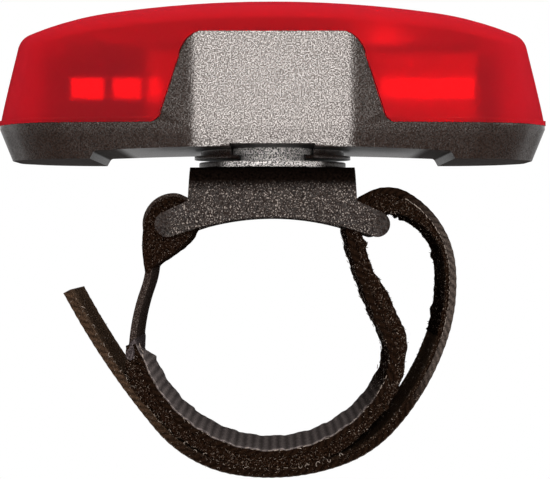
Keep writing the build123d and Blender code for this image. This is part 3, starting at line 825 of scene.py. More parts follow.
class Shader(Nodes):
    """Builds one material's node tree."""

    def __init__(self, name: str) -> None:
        """Makes a material with a Principled shader.

        Args:
            name: the material's name.
        """
        self.material = bpy.data.materials.new(name)
        self.material.use_nodes = True
        super().__init__(self.material.node_tree)
        kinds = {node.type: node for node in self.tree.nodes}
        self.principled, self.output = kinds["BSDF_PRINCIPLED"], kinds["OUTPUT_MATERIAL"]
        self.coordinates = self.add("ShaderNodeTexCoord").outputs

    def noise(self, scale: float, detail: float = 2.0) -> bpy.types.NodeSocket:
        """Adds solid noise on the object's own coordinates.

        Args:
            scale: noise cells per metre.
            detail: how many finer octaves it has.

        Returns:
            The noise value socket.
        """
        inputs = {"Vector": self.coordinates["Object"], "Scale": scale, "Detail": detail}
        return self.add("ShaderNodeTexNoise", inputs).outputs["Fac"]

    def remap(
        self,
        value: bpy.types.NodeSocket,
        source: tuple[Value, Value] = (0.0, 1.0),
        target: tuple[Value, Value] = (0.0, 1.0),
        kind: str = "LINEAR",
    ) -> bpy.types.NodeSocket:
        """Turns one range of a value into another, and holds it at the ends.

        Args:
            value: the value's socket.
            source: the range that is read.
            target: the range that it becomes.
            kind: how it goes from end to end.

        Returns:
            The new value's socket.
        """
        ends = zip(("From Min", "From Max", "To Min", "To Max"), (*source, *target))
        inputs = {"Value": value, **dict(ends)}
        return self.add("ShaderNodeMapRange", inputs, interpolation_type=kind).outputs["Result"]

    def scaled(self, colour: Value, factor: bpy.types.NodeSocket) -> bpy.types.NodeSocket:
        """Makes a colour brighter or darker by a factor."""
        inputs = {0: colour, "Scale": factor}
        return self.add("ShaderNodeVectorMath", inputs, operation="SCALE").outputs["Vector"]

    def part(self, axis: str, source: str = "Object") -> bpy.types.NodeSocket:
        """Gives one part of the Object coordinates or of the Normal ones."""
        vector = self.coordinates[source]
        return self.add("ShaderNodeSeparateXYZ", {"Vector": vector}).outputs[axis]

    def below(self, height: float, blur: float = 0.9) -> bpy.types.NodeSocket:
        """Gives a share that falls from 1 to 0 as a surface rises past a height.

        Args:
            height: where it is a half, in millimetres.
            blur: how far from there it is 1 and 0, in millimetres.

        Returns:
            The share socket.
        """
        ends = ((height + blur) * MM, (height - blur) * MM)
        return self.remap(self.part("Z"), ends, kind="SMOOTHSTEP")

    def within(self, half: float, middle: float = 0.0, blur: float = 0.8) -> bpy.types.NodeSocket:
        """Gives a share that falls from 1 to 0 away from a middle along X.

        Args:
            half: how far from the middle it is a half, in millimetres.
            middle: where the middle is, in millimetres.
            blur: how far from the half it is 1 and 0, in millimetres.

        Returns:
            The share socket.
        """
        away = self.calculate("ABSOLUTE", self.calculate("SUBTRACT", self.part("X"), middle * MM))
        return self.remap(away, ((half + blur) * MM, (half - blur) * MM), kind="SMOOTHSTEP")

    def upright(self) -> bpy.types.NodeSocket:
        """Gives a share that is 1 on upright surfaces and 0 on level ones."""
        return self.remap(self.calculate("ABSOLUTE", self.part("Z", "Normal")), UPRIGHT_RANGE)

    def in_recess(self) -> bpy.types.NodeSocket:
        """Gives a share that is 1 in the casing's recess and 0 at its feet and below it."""
        above = self.remap(self.below(RECESS_LEVEL, RECESS_BLUR), target=(1.0, 0.0))
        return self.calculate("MULTIPLY", self.within(RECESS_HALF), above)

    def facing_down(self, level: float, down: bpy.types.NodeSocket) -> bpy.types.NodeSocket:
        """Gives a level on surfaces that stand or face up, and another where they face down."""
        return self.remap(self.part("Z", "Normal"), DOWNWARD_RANGE, (level, down))

    def gloss(self, finish: Finish, outside_painted_shade: bpy.types.NodeSocket | None) -> bpy.types.NodeSocket:
        """Lets the gloss vary from grain to grain and from place to place.

        Args:
            finish: the finish it is for.
            outside_painted_shade: a share that is 0 in the painted shade, where the surface is
                dull, or None.

        Returns:
            The specular level's socket.
        """
        ends = (finish.specular * (1.0 - finish.spark), finish.specular * (1.0 + finish.spark))
        grains = self.noise(finish.grain_scale * GLOSS_FINENESS, 0.0)
        masks = [outside_painted_shade] if outside_painted_shade else []
        # Painted shade: lower gloss on the flanks beside the tab, below dim_below.
        if finish.dim_below is not None:
            beside = self.remap(self.within(TAB_HALF), target=(1.0, 0.0))
            low = self.calculate("MULTIPLY", self.below(finish.dim_below), beside)
            masks.append(self.remap(low, target=(1.0, FLANK_GLOSS)))
        if finish.dull_below:
            beneath = self.remap(self.in_recess(), target=(UNDERSIDE_GLOSS, RECESS_GLOSS))
            masks.append(self.facing_down(1.0, beneath))
        return self.masked(self.remap(grains, GLOSS_RANGE, ends), masks)

    def masked(
        self, value: bpy.types.NodeSocket, masks: list[bpy.types.NodeSocket]
    ) -> bpy.types.NodeSocket:
        """Multiplies a value by masks.

        Args:
            value: the value's socket.
            masks: the sockets to multiply it by, one after another.

        Returns:
            The product's socket.
        """
        for mask in masks:
            value = self.calculate("MULTIPLY", value, mask)
        return value

    def with_glints(
        self, colour: bpy.types.NodeSocket, finish: Finish, outside_painted_shade: bpy.types.NodeSocket | None
    ) -> bpy.types.NodeSocket:
        """Lays a finish's pale grains over a colour; on the bracket they are painted glints and on
        the turntable a painted highlight.

        Args:
            colour: the colour's socket.
            finish: the finish it is for.
            outside_painted_shade: a share that is 0 in the painted shade, where there are none, or
                None.

        Returns:
            The new colour's socket.
        """
        ends = tuple(end - GLINT_SHIFT * finish.glint_share for end in GLINT_RANGE)
        picked = self.remap(self.noise(finish.grain_scale * GLINT_FINENESS, 1.0), ends)
        masks = [outside_painted_shade] if outside_painted_shade else []
        if finish.glint_half is not None:
            masks.append(self.within(finish.glint_half, finish.glint_middle))
        if finish.glint_upright:
            masks.append(self.upright())
        inputs = {0: self.masked(picked, masks), 6: colour, 7: (*finish.glint, 1.0)}
        return self.add("ShaderNodeMix", inputs, data_type="RGBA").outputs[2]


def paint(slot: Slot, finish: Finish) -> Shader:
    """Makes the material of a slot.

    Args:
        slot: the slot it is for.
        finish: how it looks.

    Returns:
        The shader that holds the material.
    """
    shader = Shader(slot.value)
    colour = (*finish.colour, 1.0)
    shader.fill(shader.principled, {
        "Base Color": colour,
        "Roughness": finish.roughness,
        "Metallic": finish.metallic,
        "Specular IOR Level": finish.specular,
        "Emission Color": colour,
        "Emission Strength": finish.glow,
    })
    if not finish.metallic:
        shader.fill(shader.principled, {"Specular Tint": SPECULAR_TINT})
    grain = shader.noise(finish.grain_scale)
    bump = shader.add("ShaderNodeBump", {"Distance": finish.grain_depth, "Height": grain})
    plain_colour: Value = finish.colour
    if finish.dyed:
        plain_colour = shader.add("ShaderNodeAttribute", attribute_name="dye").outputs["Color"]
    specks = shader.remap(grain, GRAIN_RANGE, (1.0 - finish.speck, 1.0 + finish.speck))
    coloured = shader.scaled(plain_colour, specks)
    # Painted shade: above painted_shade_top the colour is darker, and the gloss and pale grains
    # fade out.
    outside_painted_shade = shader.below(finish.painted_shade_top) if finish.painted_shade_top is not None else None
    if outside_painted_shade:
        coloured = shader.scaled(coloured, shader.remap(outside_painted_shade, target=(PAINTED_SHADE_COLOUR, 1.0)))
    # Pale grains: painted glints on the bracket and a painted highlight on the turntable.
    if finish.glint:
        coloured = shader.with_glints(coloured, finish, outside_painted_shade)
    shader.fill(shader.principled, {"Normal": bump.outputs["Normal"], "Base Color": coloured})
    if finish.spark:
        shader.fill(shader.principled, {"Specular IOR Level": shader.gloss(finish, outside_painted_shade)})
    if finish.dull_below:
        coarse = shader.remap(
            shader.in_recess(), target=(UNDERSIDE_ROUGHNESS, RECESS_ROUGHNESS)
        )
        roughness = shader.facing_down(finish.roughness, coarse)
        shader.fill(shader.principled, {"Roughness": roughness})
    return shader


@dataclass(frozen=True)
class Frosting:
    """The lens's frosted plastic: a cloudy body and a clear, blurring part.

    Attributes:
        body: linear colour of the cloudy part.
        body_roughness: how matt it is.
        clear: linear tint of the clear part, for one surface.
        haze: roughness of the clear part.
        gloss: strength of its reflection.
        ior: how strongly it bends light.
        edge_blend: how far in from an edge the surface counts as seen edge-on.
        cloud_facing: share of the cloudy part where the surface faces the viewer.
        cloud_edge: share where it is seen edge-on.
        uneven_scale: uneven patches per metre, about.
        uneven: the least and the greatest factor on the cloudy share.
    """

    body: Colour = (0.52, 0.013, 0.026)
    body_roughness: float = 0.6
    clear: Colour = (0.90, 0.016, 0.026)
    haze: float = 0.75
    gloss: float = 0.05
    ior: float = 1.17
    edge_blend: float = 0.35
    cloud_facing: float = 0.21
    cloud_edge: float = 0.9
    uneven_scale: float = 2600.0
    uneven: tuple[float, float] = (0.93, 1.07)

    def paint(self) -> bpy.types.Material:
        """Makes the material.

        Returns:
            The material.
        """
        shader = Shader(Slot.LENS_RED.value)
        shader.fill(shader.principled, {
            "Base Color": (*self.body, 1.0),
            "Roughness": self.body_roughness,
            "Specular IOR Level": 0.0,
        })
        clear = shader.add("ShaderNodeBsdfPrincipled", {
            "Base Color": (*self.clear, 1.0),
            "Roughness": self.haze,
            "IOR": self.ior,
            "Specular IOR Level": self.gloss,
            "Transmission Weight": 1.0,
        })
        turned = shader.add("ShaderNodeLayerWeight", {"Blend": self.edge_blend})
        cloud = shader.remap(turned.outputs["Facing"], target=(self.cloud_facing, self.cloud_edge))
        factor = shader.remap(shader.noise(self.uneven_scale), target=self.uneven)
        share = shader.calculate("MULTIPLY", cloud, factor)
        parts = (clear.outputs["BSDF"], shader.principled.outputs["BSDF"])
        shader.fill(shader.output, {"Surface": shader.blended(share, *parts)})
        return shader.material


def weave(slot: Slot, finish: Finish) -> bpy.types.Material:
    """Makes a ribbed cloth that follows the strap's own UV map.

    Args:
        slot: the slot it is for.
        finish: its colour and grain.

    Returns:
        The material.
    """
    shader = paint(slot, finish)
    inputs = shader.principled.inputs
    plain_colour, grain = (inputs[key].links[0].from_socket for key in ("Base Color", "Normal"))
    ribs = shader.add("ShaderNodeTexWave", {
        "Vector": shader.add("ShaderNodeUVMap", uv_map="course").outputs["UV"],
        "Scale": math.pi / (10.0 * RIB_PITCH),
        "Distortion": 1.2,
        "Detail": 2.0,
        "Detail Scale": 1.5,
    }).outputs["Fac"]
    relief = shader.add(
        "ShaderNodeBump", {"Distance": RIB_RELIEF * MM, "Height": ribs, "Normal": grain}
    )
    shader.fill(shader.principled, {
        "Base Color": shader.scaled(plain_colour, shader.remap(ribs, target=RIB_SHADES)),
        "Normal": relief.outputs["Normal"],
    })
    return shader.material


def white_for_sight(name: str, colour: Colour) -> bpy.types.Material:
    """Makes a stage material that is white where it is seen, pale where lit and clear from below.

    Args:
        name: the material's name.
        colour: its colour for diffuse light.

    Returns:
        The material.
    """
    shader = Shader(name)
    shader.fill(shader.principled, {"Base Color": (*colour, 1.0)})
    glow = shader.add("ShaderNodeEmission").outputs["Emission"]
    above = shader.blended(shader.in_sight(), shader.principled.outputs["BSDF"], glow)
    underside = shader.add("ShaderNodeNewGeometry").outputs["Backfacing"]
    unseen = shader.add("ShaderNodeBsdfTransparent").outputs["BSDF"]
    shader.fill(shader.output, {"Surface": shader.blended(underside, above, unseen)})
    return shader.material


def light_world() -> None:
    """Sets a pale world that is white where it is seen."""
    world = bpy.data.worlds.new("studio")
    bpy.context.scene.world = world
    world.use_nodes = True
    nodes = Nodes(world.node_tree)
    pale = nodes.tree.nodes["Background"]
    nodes.fill(pale, {"Color": WHITE, "Strength": WORLD_STRENGTH})
    bright = nodes.add("ShaderNodeBackground", {"Color": WHITE})
    grounds = (pale.outputs["Background"], bright.outputs["Background"])
    surface = nodes.blended(nodes.in_sight(), *grounds)
    nodes.fill(nodes.tree.nodes["World Output"], {"Surface": surface})


class Scatter(Nodes):
    """A Geometry Nodes group that sets leaning copies of a fibre on points."""

    INPUTS = {
        "Geometry": "NodeSocketGeometry",
        "Shape": "NodeSocketObject",
        "Amount": "NodeSocketFloat",
        "Seed": "NodeSocketInt",
        "Lean": "NodeSocketFloat",
        "Cloth": "NodeSocketMaterial",
    }

    def __init__(self, name: str, sizes: tuple[float, float]) -> None:
        """Builds the group once, to be used on every cloth.

        Args:
            name: the group's name.
            sizes: the smallest and the largest scale of a copy.
        """
        super().__init__(bpy.data.node_groups.new(name, "GeometryNodeTree"))
        face = self.tree.interface
        self.keys = {
            label: face.new_socket(label, in_out="INPUT", socket_type=kind).identifier
            for label, kind in self.INPUTS.items()
        }
        face.new_socket("Geometry", in_out="OUTPUT", socket_type="NodeSocketGeometry")
        self.given = self.add("NodeGroupInput")
        points = self.points()
        back = self.calculate("MULTIPLY", self.value("Lean"), -1.0)
        low = self.add("ShaderNodeCombineXYZ", {"X": back, "Y": back, "Z": -math.pi})
        lean = self.value("Lean")
        high = self.add("ShaderNodeCombineXYZ", {"X": lean, "Y": lean, "Z": math.pi})
        swing = self.add("FunctionNodeRandomValue", {
            "Min": low.outputs["Vector"],
            "Max": high.outputs["Vector"],
            "Seed": self.value("Seed"),
        }, data_type="FLOAT_VECTOR")
        turned = self.add("FunctionNodeRotateRotation", {
            "Rotation": points.outputs["Rotation"],
            "Rotate By": swing.outputs["Value"],
        }, rotation_space="LOCAL")
        size = self.add("FunctionNodeRandomValue", {2: sizes[0], 3: sizes[1]})
        shape = self.add("GeometryNodeObjectInfo", {"Object": self.value("Shape")})
        copies = self.add("GeometryNodeInstanceOnPoints", {
            "Points": points.outputs["Points"],
            "Instance": shape.outputs["Geometry"],
            "Rotation": turned.outputs["Rotation"],
            "Scale": size.outputs[1],
        })
        real = self.add("GeometryNodeRealizeInstances", {"Geometry": copies.outputs["Instances"]})
        dyed = self.add("GeometryNodeSetMaterial", {
            "Geometry": real.outputs["Geometry"],
            "Material": self.value("Cloth"),
        })
        self.add("NodeGroupOutput", {"Geometry": dyed.outputs["Geometry"]})

    def value(self, label: str) -> bpy.types.NodeSocket:
        """Gives one of the group's inputs."""
        return self.given.outputs[label]

    def points(self) -> bpy.types.Node:
        """Adds the node that gives the points and how they are turned.

        Returns:
            A node with the outputs Points and Rotation.
        """
        raise NotImplementedError

    def cover(self, host: bpy.types.Object, name: str, **values: object) -> bpy.types.Object:
        """Runs the group on an object.

        Args:
            host: the object, which is removed.
            name: the name of what it makes.
            **values: the group's inputs, in lower case.

        Returns:
            All the copies as one plain piece.
        """
        work = host.modifiers.new(self.tree.name, "NODES")
        work.node_group = self.tree
        for label, value in values.items():
            work[self.keys[label.capitalize()]] = value
        return settled(host, name)


class Growth(Scatter):
    """A group that covers a mesh with fibres, thickly where its attribute fuzz is high."""

    def points(self) -> bpy.types.Node:
        """Spreads points over the mesh's faces.

        Returns:
            A node with the outputs Points and Rotation.
        """
        fuzz = self.add("GeometryNodeInputNamedAttribute", {"Name": "fuzz"}).outputs["Attribute"]
        return self.add("GeometryNodeDistributePointsOnFaces", {
            "Mesh": self.value("Geometry"),
            "Density": self.calculate("MULTIPLY", self.value("Amount"), fuzz),
            "Seed": self.value("Seed"),
        })


class Selvedge(Scatter):
    """A group that lays threads along a line."""

    def points(self) -> bpy.types.Node:
        """Spaces points along the line.

        Returns:
            A node with the outputs Points and Rotation.
        """
        line = self.add("GeometryNodeMeshToCurve", {"Mesh": self.value("Geometry")})
        inputs = {"Curve": line.outputs["Curve"], "Length": self.value("Amount")}
        return self.add("GeometryNodeCurveToPoints", inputs, mode="LENGTH")


@dataclass(frozen=True)
class Shell:
    """A moulded piece of the light, whose sharp CAD edges the scene rounds.

    Attributes:
        name: the CAD node that it stands for.
        body: the body it moves with.
        width: size of the rounding in millimetres.
    """

    name: str
    body: str
    width: float

    def build(
        self, node: bpy.types.Object, edge_highlight: bpy.types.Material | None
    ) -> bpy.types.Object:
        """Copies the CAD node with its sharp edges rounded.

        Args:
            node: the CAD node, which has its material already.
            edge_highlight: the material of the rounded edges, a lighter painted highlight, or None
                for the node's own.

        Returns:
            The copy, as a plain mesh.
        """
        name = f"{self.name}_soft"
        copy = bare(f"{name}_draft", node.data.copy())
        weld = copy.modifiers.new("weld", "WELD")
        weld.merge_threshold = WELD_DISTANCE
        bevel = copy.modifiers.new("bevel", "BEVEL")
        bevel.width = self.width * MM
        bevel.segments = BEVEL_SEGMENTS
        bevel.limit_method = "ANGLE"
        bevel.angle_limit = SHARP_ANGLE
        # The rounded edges take the lighter material, a painted highlight.
        if edge_highlight:
            copy.data.materials.append(edge_highlight)
            bevel.material = 1
        copy.data.shade_smooth()
        flat = copy.modifiers.new("flat", "WEIGHTED_NORMAL")
        flat.weight = FLAT_WEIGHT
        return settled(copy, name)


SHELLS = (
    Shell("rear_casing", "housing", 0.3),
    Shell("strap_bracket", "bracket", 0.25),
    Shell("turntable", "swivel", 0.1),
    Shell("lens", "lens_shell", 0.14),
)


@dataclass(frozen=True)
class Softbox:
    """An area lamp aimed at the light.

    Attributes:
        name: its name.
        place: where it stands, in metres.
        width: its width in metres.
        height: its height in metres.
        watts: its power.
    """

    name: str
    place: Point
    width: float
    height: float
    watts: float

    def stand(self) -> None:
        """Adds the lamp to the scene."""
        lamp = bpy.data.lights.new(self.name, "AREA")
        lamp.shape = "RECTANGLE"
        lamp.size = self.width
        lamp.size_y = self.height
        lamp.energy = self.watts
        holder = bare(self.name, lamp)
        holder.location = self.place
        way = Vector(LAMP_AIM) - Vector(self.place)
        holder.rotation_euler = way.to_track_quat("-Z", "Y").to_euler()


SOFTBOXES = (
    Softbox("front", (0.0, -0.95, 0.095), 0.10, 0.30, 7.5),
    Softbox("above", (0.0, -0.02, 0.62), 0.36, 0.08, 2.2),
    Softbox("right", (0.55, -0.25, 0.15), 0.35, 0.35, 0.8),
)


def set_stage() -> None:
    """Adds the floor, lamps, world and camera."""
    bpy.ops.mesh.primitive_plane_add(size=FLOOR_SIZE, location=(0.0, 0.0, FLOOR_Z))
    floor = bpy.context.object
    floor.name = "floor"
    floor.data.materials.append(white_for_sight("floor_paint", FLOOR_COLOUR))
    floor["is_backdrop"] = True
    for softbox in SOFTBOXES:
        softbox.stand()
    light_world()
    camera = bpy.data.cameras.new("camera")
    camera.sensor_width = CAMERA_SENSOR
    camera.lens = CAMERA_LENS
    camera.clip_start = CAMERA_CLIP
    holder = bare("camera", camera)
    holder.location = CAMERA_PLACE
    holder.rotation_euler = (math.pi / 2, 0.0, 0.0)
    scene = bpy.context.scene
    scene.camera = holder
    scene.view_settings.view_transform = "Standard"


# Fibres to copy: radius of the bend in millimetres, its turn in degrees and their own radius
FIBRES = {
    "loop_fibre": (0.11, 180.0, 0.03),
    "wisp": (0.13, 90.0, 0.028),
    "hook_fibre": (0.28, 200.0, 0.045),
    "dash": (1.6, 18.0, 0.055),
}


@dataclass(frozen=True)
class Tuft:
    """Fibres that stand on a cloth.

    Attributes:
        name: their piece's name.
        bed: the name of the piece that they stand on.
        shape: the fibre that is copied.
        density: fibres per square millimetre where fuzz is 1.
        seed: seed of their places, leans and sizes.
        slot: the slot of their material.
        lean: how far they lean, in radians.
    """

    name: str
    bed: str
    shape: str
    density: float
    seed: int
    slot: Slot
    lean: float


TUFTS = (
    Tuft("loop_fibres", "loop_bed", "loop_fibre", 5.0, 4, Slot.PILE_FABRIC, 0.8),
    Tuft("loop_glints", "loop_bed", "wisp", 7.0, 8, Slot.THREAD, 1.1),
    Tuft("eye_glints", "eye_fill", "wisp", 4.0, 9, Slot.THREAD, 1.1),
    Tuft("web_glints", "strap_weave", "wisp", 5.0, 10, Slot.THREAD, 1.1),
    Tuft("hook_fibres", "hook_bed", "loop_fibre", 3.5, 15, Slot.PILE_FABRIC, 0.6),
    Tuft("hook_glints", "hook_bed", "wisp", 4.0, 16, Slot.THREAD, 1.1),
)


@dataclass(frozen=True)
class Trim:
    """Threads that lie along an edge of the strap.

    Attributes:
        name: their piece's name.
        course: the course that they follow.
        depth: how deep they lie under the woven face, in millimetres.
        shape: the thread that is copied.
        spacing: distance between two threads in millimetres.
        lean: how far each may lean off the line, in radians.
        seed: seed of their leans and sizes.
        side: -1 for the near edge and 1 for the far one.
    """

    name: str
    course: Course
    depth: float
    shape: str
    spacing: float
    lean: float
    seed: int
    side: float = -1.0

    def line(self) -> list[Point]:
        """Lists the points of the line, in metres."""
        y = self.side * (STRAP_HALF - 0.02)
        return [station.at(self.depth, y) for station in self.course.stations(0.5)]


LAP_START = Course(INNER_LAP[:3])
WHOLE_LAP = Course(INNER_LAP + OUTER_LOOP)
TAIL_PART = WHOLE_LAP.after(OUTER_LAP[:2]).after((*OUTER_LAP[2:4], TAIL_END))
TRIMS = (
    Trim("inner_dashes", LAP_START, 0.0, "dash", 0.7, 0.25, 2),
    Trim("far_dashes", LAP_START.after(INNER_LAP[3:5]), -0.13, "dash", 0.8, 0.25, 6, side=1.0),
    Trim("loop_dashes", Course(INNER_LAP).after(OUTER_LOOP), WEB, "dash", 0.62, 0.2, 3),
    Trim("hook_curls", TAIL_PART, WEB + 0.3, "hook_fibre", 1.3, 1.6, 5),
)
SEAM_SPACING, SEAM_LEAN = 1.5, 0.05

# Where the strap's colours and layers change, in millimetres of its run
FACE_SHADE, EDGE_SHADE, TAIL_SHADE = (31.0, 40.0), (68.0, 79.0), (126.0, 141.0)
HOOK_SHADE, HOOK_THINNING = (36.0, 50.0), (34.0, 44.0)
PALE_EDGE = Swell(1.0, *EDGE_SHADE, 91.0, 99.0)
CLEAN_EDGE = Swell(0.9, 62.0, 72.0, 91.0, 99.0)
FUZZY_FACE = Swell(0.6, 33.0, 38.0, 60.0, 66.0)
THICK_PILE = (
    Swell(1.2, 61.0, 65.0, 69.5, 77.5),
    Swell(0.8, 41.5, 44.5, 49.0, 53.5),
    Swell(0.35, 3.0, 6.0, 30.0, 34.0),
)

# Unevenness of the strap, in millimetres, and the form of one pucker over its pitch
RIB_DRIFT = Field(0.4, 0.0, 3.0, 0.25)
WEB_GRAIN = Field(1.0, 6.0, 1.0, 0.02)
PUCKER_TOOTH = Swell(1.0, 0.0, 0.72, 0.78, 1.0)
PUCKER_DRIFT, PUCKER_DEPTH = Field(0.21, 0.8, 21.0, 0.9), Field(0.3, 1.5, 23.0, 0.45)
PILE_LUMPS, PILE_GRAIN = Field(1.0 / 1.5, 1.2, 7.0), Field(1.0 / 0.6, 9.0, 9.0, 0.14)
PILE_EDGE, HOOK_GRAIN = Field(1.0 / 0.7, 2.0, 5.0, 0.16), Field(1.0 / 0.6, 9.0, 11.0, 0.08)


@dataclass
class Strap:
    """The hook-and-loop strap with its ribs, pile and fibres. Sizes are in millimetres.

    Attributes:
        materials: the material of each slot.
        web_cloth: the material of the woven backing.
        hook_cloth: the material of the hook pile.
        fold_cloth: the material of the fold at the seam.
        seam_cloth: the material of the seam's thread.
        rib_height: how far the ribs stand out.
        scallop_pitch: distance between two puckers of the inner lap's woven face.
        scallop_height: how far they stand out.
        taper: length over which the strap thins towards its sewn end.
        skew: length over which its sewn end is cut askew.
    """

    materials: dict[Slot, bpy.types.Material]
    web_cloth: bpy.types.Material
    hook_cloth: bpy.types.Material
    fold_cloth: bpy.types.Material
    seam_cloth: bpy.types.Material
    rib_height: float = 0.03
    scallop_pitch: float = 3.0
    scallop_height: float = 0.26
    taper: float = 3.2
    skew: float = 2.8

    def __post_init__(self) -> None:
        """Works out how far along the strap the bar and the sewn-in tongue's end are."""
        self.bar_run = Course(INNER_LAP).length
        self.tongue_run = Course(TONGUE).length

    def rib(self, run: float) -> float:
        """Gives the height of the ribs at a run, from 0 to 1."""
        wavy = run + RIB_DRIFT.at(run, 0.0)
        return 0.5 - 0.5 * math.cos(2.0 * math.pi * wavy / RIB_PITCH)

    def pucker(self, run: float, across: float) -> float:
        """Gives how far the inner lap's woven face puckers out at a run.

        Args:
            run: the run there.
            across: share across, from -1 at the near edge to 1.

        Returns:
            The length in millimetres.
        """
        tooth = ((run + PUCKER_DRIFT.at(run, across)) / self.scallop_pitch) % 1.0
        strength = 0.55 + PUCKER_DEPTH.at(run, across)
        on_lap = 1.0 - fade(run, self.bar_run - 12.0, self.bar_run - 6.0)
        return self.scallop_height * PUCKER_TOOTH.at(tooth) * strength * on_lap

    def web_upper(self, run: float, across: float) -> float:
        """Gives the depth of the woven face.

        Args:
            run: the run there.
            across: share across, from -1 at the near edge to 1.

        Returns:
            The length in millimetres.
        """
        thinned = 0.5 * WEB * (1.0 - fade(run, 0.0, self.taper))
        raised = self.rib_height * self.rib(run) + self.pucker(run, across)
        return thinned - raised + WEB_GRAIN.at(run, across)

    def web_edge(self, run: float, share: float) -> float:
        """Gives how far the selvedge stands out."""
        return 0.05 * self.rib(run + RIB_PITCH * 0.9 * share) - 0.03

    def web_dye(self, run: float, across: float, share: float) -> Colour:
        """Gives the web's colour: pale on the inner lap's face, dark where it lies on pile.

        Args:
            run: the run there.
            across: not used.
            share: share of the depth.

        Returns:
            The linear colour.
        """
        tail = fade(run, *TAIL_SHADE)
        if share > 0.0:
            return mixed(mixed(DARK_EDGE, LOOP_EDGE, PALE_EDGE.at(run)), TAIL_BROWN, tail)
        if run < self.bar_run:
            return mixed(INNER_FACE, DARK_EDGE, fade(run, *FACE_SHADE))
        return mixed(mixed(DARK_EDGE, LOOP_EDGE, fade(run, *EDGE_SHADE)), TAIL_BROWN, tail)

    def hook_dye(self, run: float, across: float, share: float) -> Colour:
        """Gives the hook pile's colour, browner on the free tail and lighter on its face as painted
        light.

        Args:
            run: the run there.
            across: share across, from -1 at the near edge to 1.
            share: share of the depth.

        Returns:
            The linear colour.
        """
        # Painted light: the pile's face is lighter than its edges, against the shade it lies in.
        on_face = share == 1.0 and abs(across) < 1.0
        start, end = (PAINTED_LIGHT_HOOK_FACE, PAINTED_LIGHT_TAIL_FACE) if on_face else (DARK_EDGE, TAIL_BROWN)
        return mixed(start, end, fade(run, *HOOK_SHADE))

    def near_start(self, run: float) -> float:
        """Gives how much of the strap's width is there, because its sewn end is cut askew."""
        return 0.08 + 0.92 * min(1.0, run / self.skew)

    def pile_lower(self, run: float, across: float) -> float:
        """Gives the depth of the loop pile's bumpy face.

        Args:
            run: the run there.
            across: share across, from -1 at the near edge to 1.

        Returns:
            The length in millimetres.
        """
        low = fade(run, self.bar_run - 2.0, self.bar_run + 2.0)
        height = LOOP_PILE + (LOW_PILE - LOOP_PILE) * low
        height *= 0.15 + 0.85 * fade(run, 0.0, self.taper)
        for swell in THICK_PILE:
            height += swell.at(run)
        tongue = 2.0 * ANCHOR * (1.0 - fade(run, self.tongue_run - 0.4, self.tongue_run + 1.2))
        lump = max(0.0, PILE_LUMPS.at(run, across)) ** 1.5
        bump = 0.85 * lump + PILE_GRAIN.at(run, across) - 0.08
        return PILE_ROOT + tongue + height + bump * fade(run, 0.4, self.taper)

    def hook_lower(self, run: float, across: float) -> float:
        """Gives the depth of the hook pile's face, which is thinner on the free tail."""
        height = HOOK_PILE * (1.0 - 0.7 * fade(run, *HOOK_THINNING))
        return WEB + height + HOOK_GRAIN.at(run, across)

    def seam_line(self, run: float) -> list[Point]:
        """Lists points across the strap on its pile's face, where a row of stitches lies.

        Args:
            run: how far along the strap the row is.

        Returns:
            The points in metres.
        """
        station = min(WHOLE_LAP.stations(0.1), key=lambda found: abs(found.run - run))
        rows = [index - STRAP_HALF + 1.0 for index in range(2 * int(STRAP_HALF) - 1)]
        return [station.at(self.pile_lower(run, y / STRAP_HALF), y) for y in rows]

    def layers(self) -> tuple[Ribbon | Bolster, ...]:
        """Describes the woven backing, the two piles, the eye's filling and the seam's fold.

        Returns:
            The five shapes.
        """
        return (
            Ribbon(
                "strap_weave", Course(INNER_LAP + OUTER_LOOP + OUTER_LAP), STRAP_HALF - 0.02,
                self.web_upper, lambda run, across: WEB, self.web_edge,
                slant=0.9 * RIB_PITCH, edge_fuzz=lambda run: 1.0 - CLEAN_EDGE.at(run),
                upper_fuzz=FUZZY_FACE.at, dye=self.web_dye, reach=self.near_start,
            ),
            Ribbon(
                "loop_bed", WHOLE_LAP, STRAP_HALF - 0.2,
                lambda run, across: PILE_ROOT, self.pile_lower, PILE_EDGE.at,
                face_fuzz=0.3, reach=self.near_start,
            ),
            Ribbon(
                "hook_bed", WHOLE_LAP.after(OUTER_LAP), STRAP_HALF - 0.25,
                lambda run, across: HOOK_ROOT, self.hook_lower, PILE_EDGE.at,
                face_fuzz=0.25, dye=self.hook_dye,
            ),
            Bolster("eye_fill", EYE_FILL, STRAP_HALF - 0.3),
            Bolster("seam_fold", SEAM_FOLD, STRAP_HALF - 0.15),
        )

    def tufts(self, beds: Pieces, shapes: Pieces) -> list[tuple[bpy.types.Object, Slot]]:
        """Grows fibres on the strap's layers.

        Args:
            beds: the layers by name.
            shapes: the fibres to copy by name.

        Returns:
            The pieces, each with its slot.
        """
        growth = Growth("growth", GROWTH_SIZES)
        grown = []
        for tuft in TUFTS:
            host = bare(f"{tuft.name}_bed", beds[tuft.bed].data.copy())
            piece = growth.cover(
                host, tuft.name, shape=shapes[tuft.shape], amount=tuft.density / MM**2,
                seed=tuft.seed, lean=tuft.lean, cloth=self.materials[tuft.slot],
            )
            grown.append((piece, tuft.slot))
        return grown

